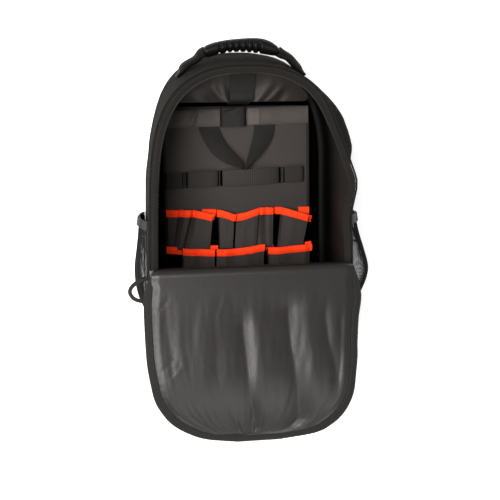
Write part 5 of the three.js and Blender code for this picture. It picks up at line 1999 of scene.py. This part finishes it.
class BACKPACK_OT_band(bpy.types.Operator):
    """Make the band over the tool panel and its keeper."""

    bl_idname = "backpack.band"
    bl_label = "Band"

    def execute(self, context):
        make_band()
        return {"FINISHED"}


class BACKPACK_OT_panel_handle(bpy.types.Operator):
    """Make the webbing handle on the tool panel."""

    bl_idname = "backpack.panel_handle"
    bl_label = "Panel handle"

    def execute(self, context):
        make_panel_handle()
        return {"FINISHED"}


class BACKPACK_OT_tool_webbing(bpy.types.Operator):
    """Make the row of webbing loops."""

    bl_idname = "backpack.tool_webbing"
    bl_label = "Tool webbing"

    def execute(self, context):
        make_tool_webbing()
        return {"FINISHED"}


class BACKPACK_OT_tool_pockets(bpy.types.Operator):
    """Make the two rows of tool pockets and their binding."""

    bl_idname = "backpack.tool_pockets"
    bl_label = "Tool pockets"

    def execute(self, context):
        make_tool_pockets()
        return {"FINISHED"}


class BACKPACK_OT_back(bpy.types.Operator):
    """Make the padding, straps and buckles under the bag."""

    bl_idname = "backpack.back"
    bl_label = "Back"

    def execute(self, context):
        make_back()
        return {"FINISHED"}


OPERATORS = [
    BACKPACK_OT_materials,
    BACKPACK_OT_stage,
    BACKPACK_OT_walls,
    BACKPACK_OT_rim,
    BACKPACK_OT_flap,
    BACKPACK_OT_slider,
    BACKPACK_OT_side_pockets,
    BACKPACK_OT_side_loop,
    BACKPACK_OT_handle,
    BACKPACK_OT_tool_panel,
    BACKPACK_OT_curtain,
    BACKPACK_OT_band,
    BACKPACK_OT_panel_handle,
    BACKPACK_OT_tool_webbing,
    BACKPACK_OT_tool_pockets,
    BACKPACK_OT_back,
]


class BACKPACK_PT_panel(bpy.types.Panel):
    """Lists the bag's settings and the steps that make it."""

    bl_label = "Tool backpack"
    bl_idname = "BACKPACK_PT_panel"
    bl_space_type = "VIEW_3D"
    bl_region_type = "UI"
    bl_category = "Backpack"

    def draw(self, context):
        for title, group in SETTINGS:
            box = self.layout.box()
            box.label(text=title)
            settings = getattr(context.scene, group)
            for key in settings.bl_rna.properties.keys():
                if key not in ("rna_type", "name"):
                    box.prop(settings, key)
        for step in OPERATORS:
            self.layout.operator(step.bl_idname)


SETTINGS = [
    ("Cloth", "backpack_cloth"),
    ("Rubber, plastic and metal", "backpack_hard"),
    ("Details", "backpack_detail"),
    ("Stage", "backpack_stage"),
]
GROUPS = [ClothSettings, HardSettings, DetailSettings, StageSettings]


def register():
    for kind in (*GROUPS, *OPERATORS, BACKPACK_PT_panel):
        bpy.utils.register_class(kind)
    for (_, name), kind in zip(SETTINGS, GROUPS):
        setattr(bpy.types.Scene, name, bpy.props.PointerProperty(type=kind))


def unregister():
    for _, name in SETTINGS:
        delattr(bpy.types.Scene, name)
    for kind in reversed((*GROUPS, *OPERATORS, BACKPACK_PT_panel)):
        bpy.utils.unregister_class(kind)


def main():
    register()
    for step in OPERATORS:
        group, name = step.bl_idname.split(".")
        getattr(getattr(bpy.ops, group), name)()


if __name__ == "__main__":
    main()
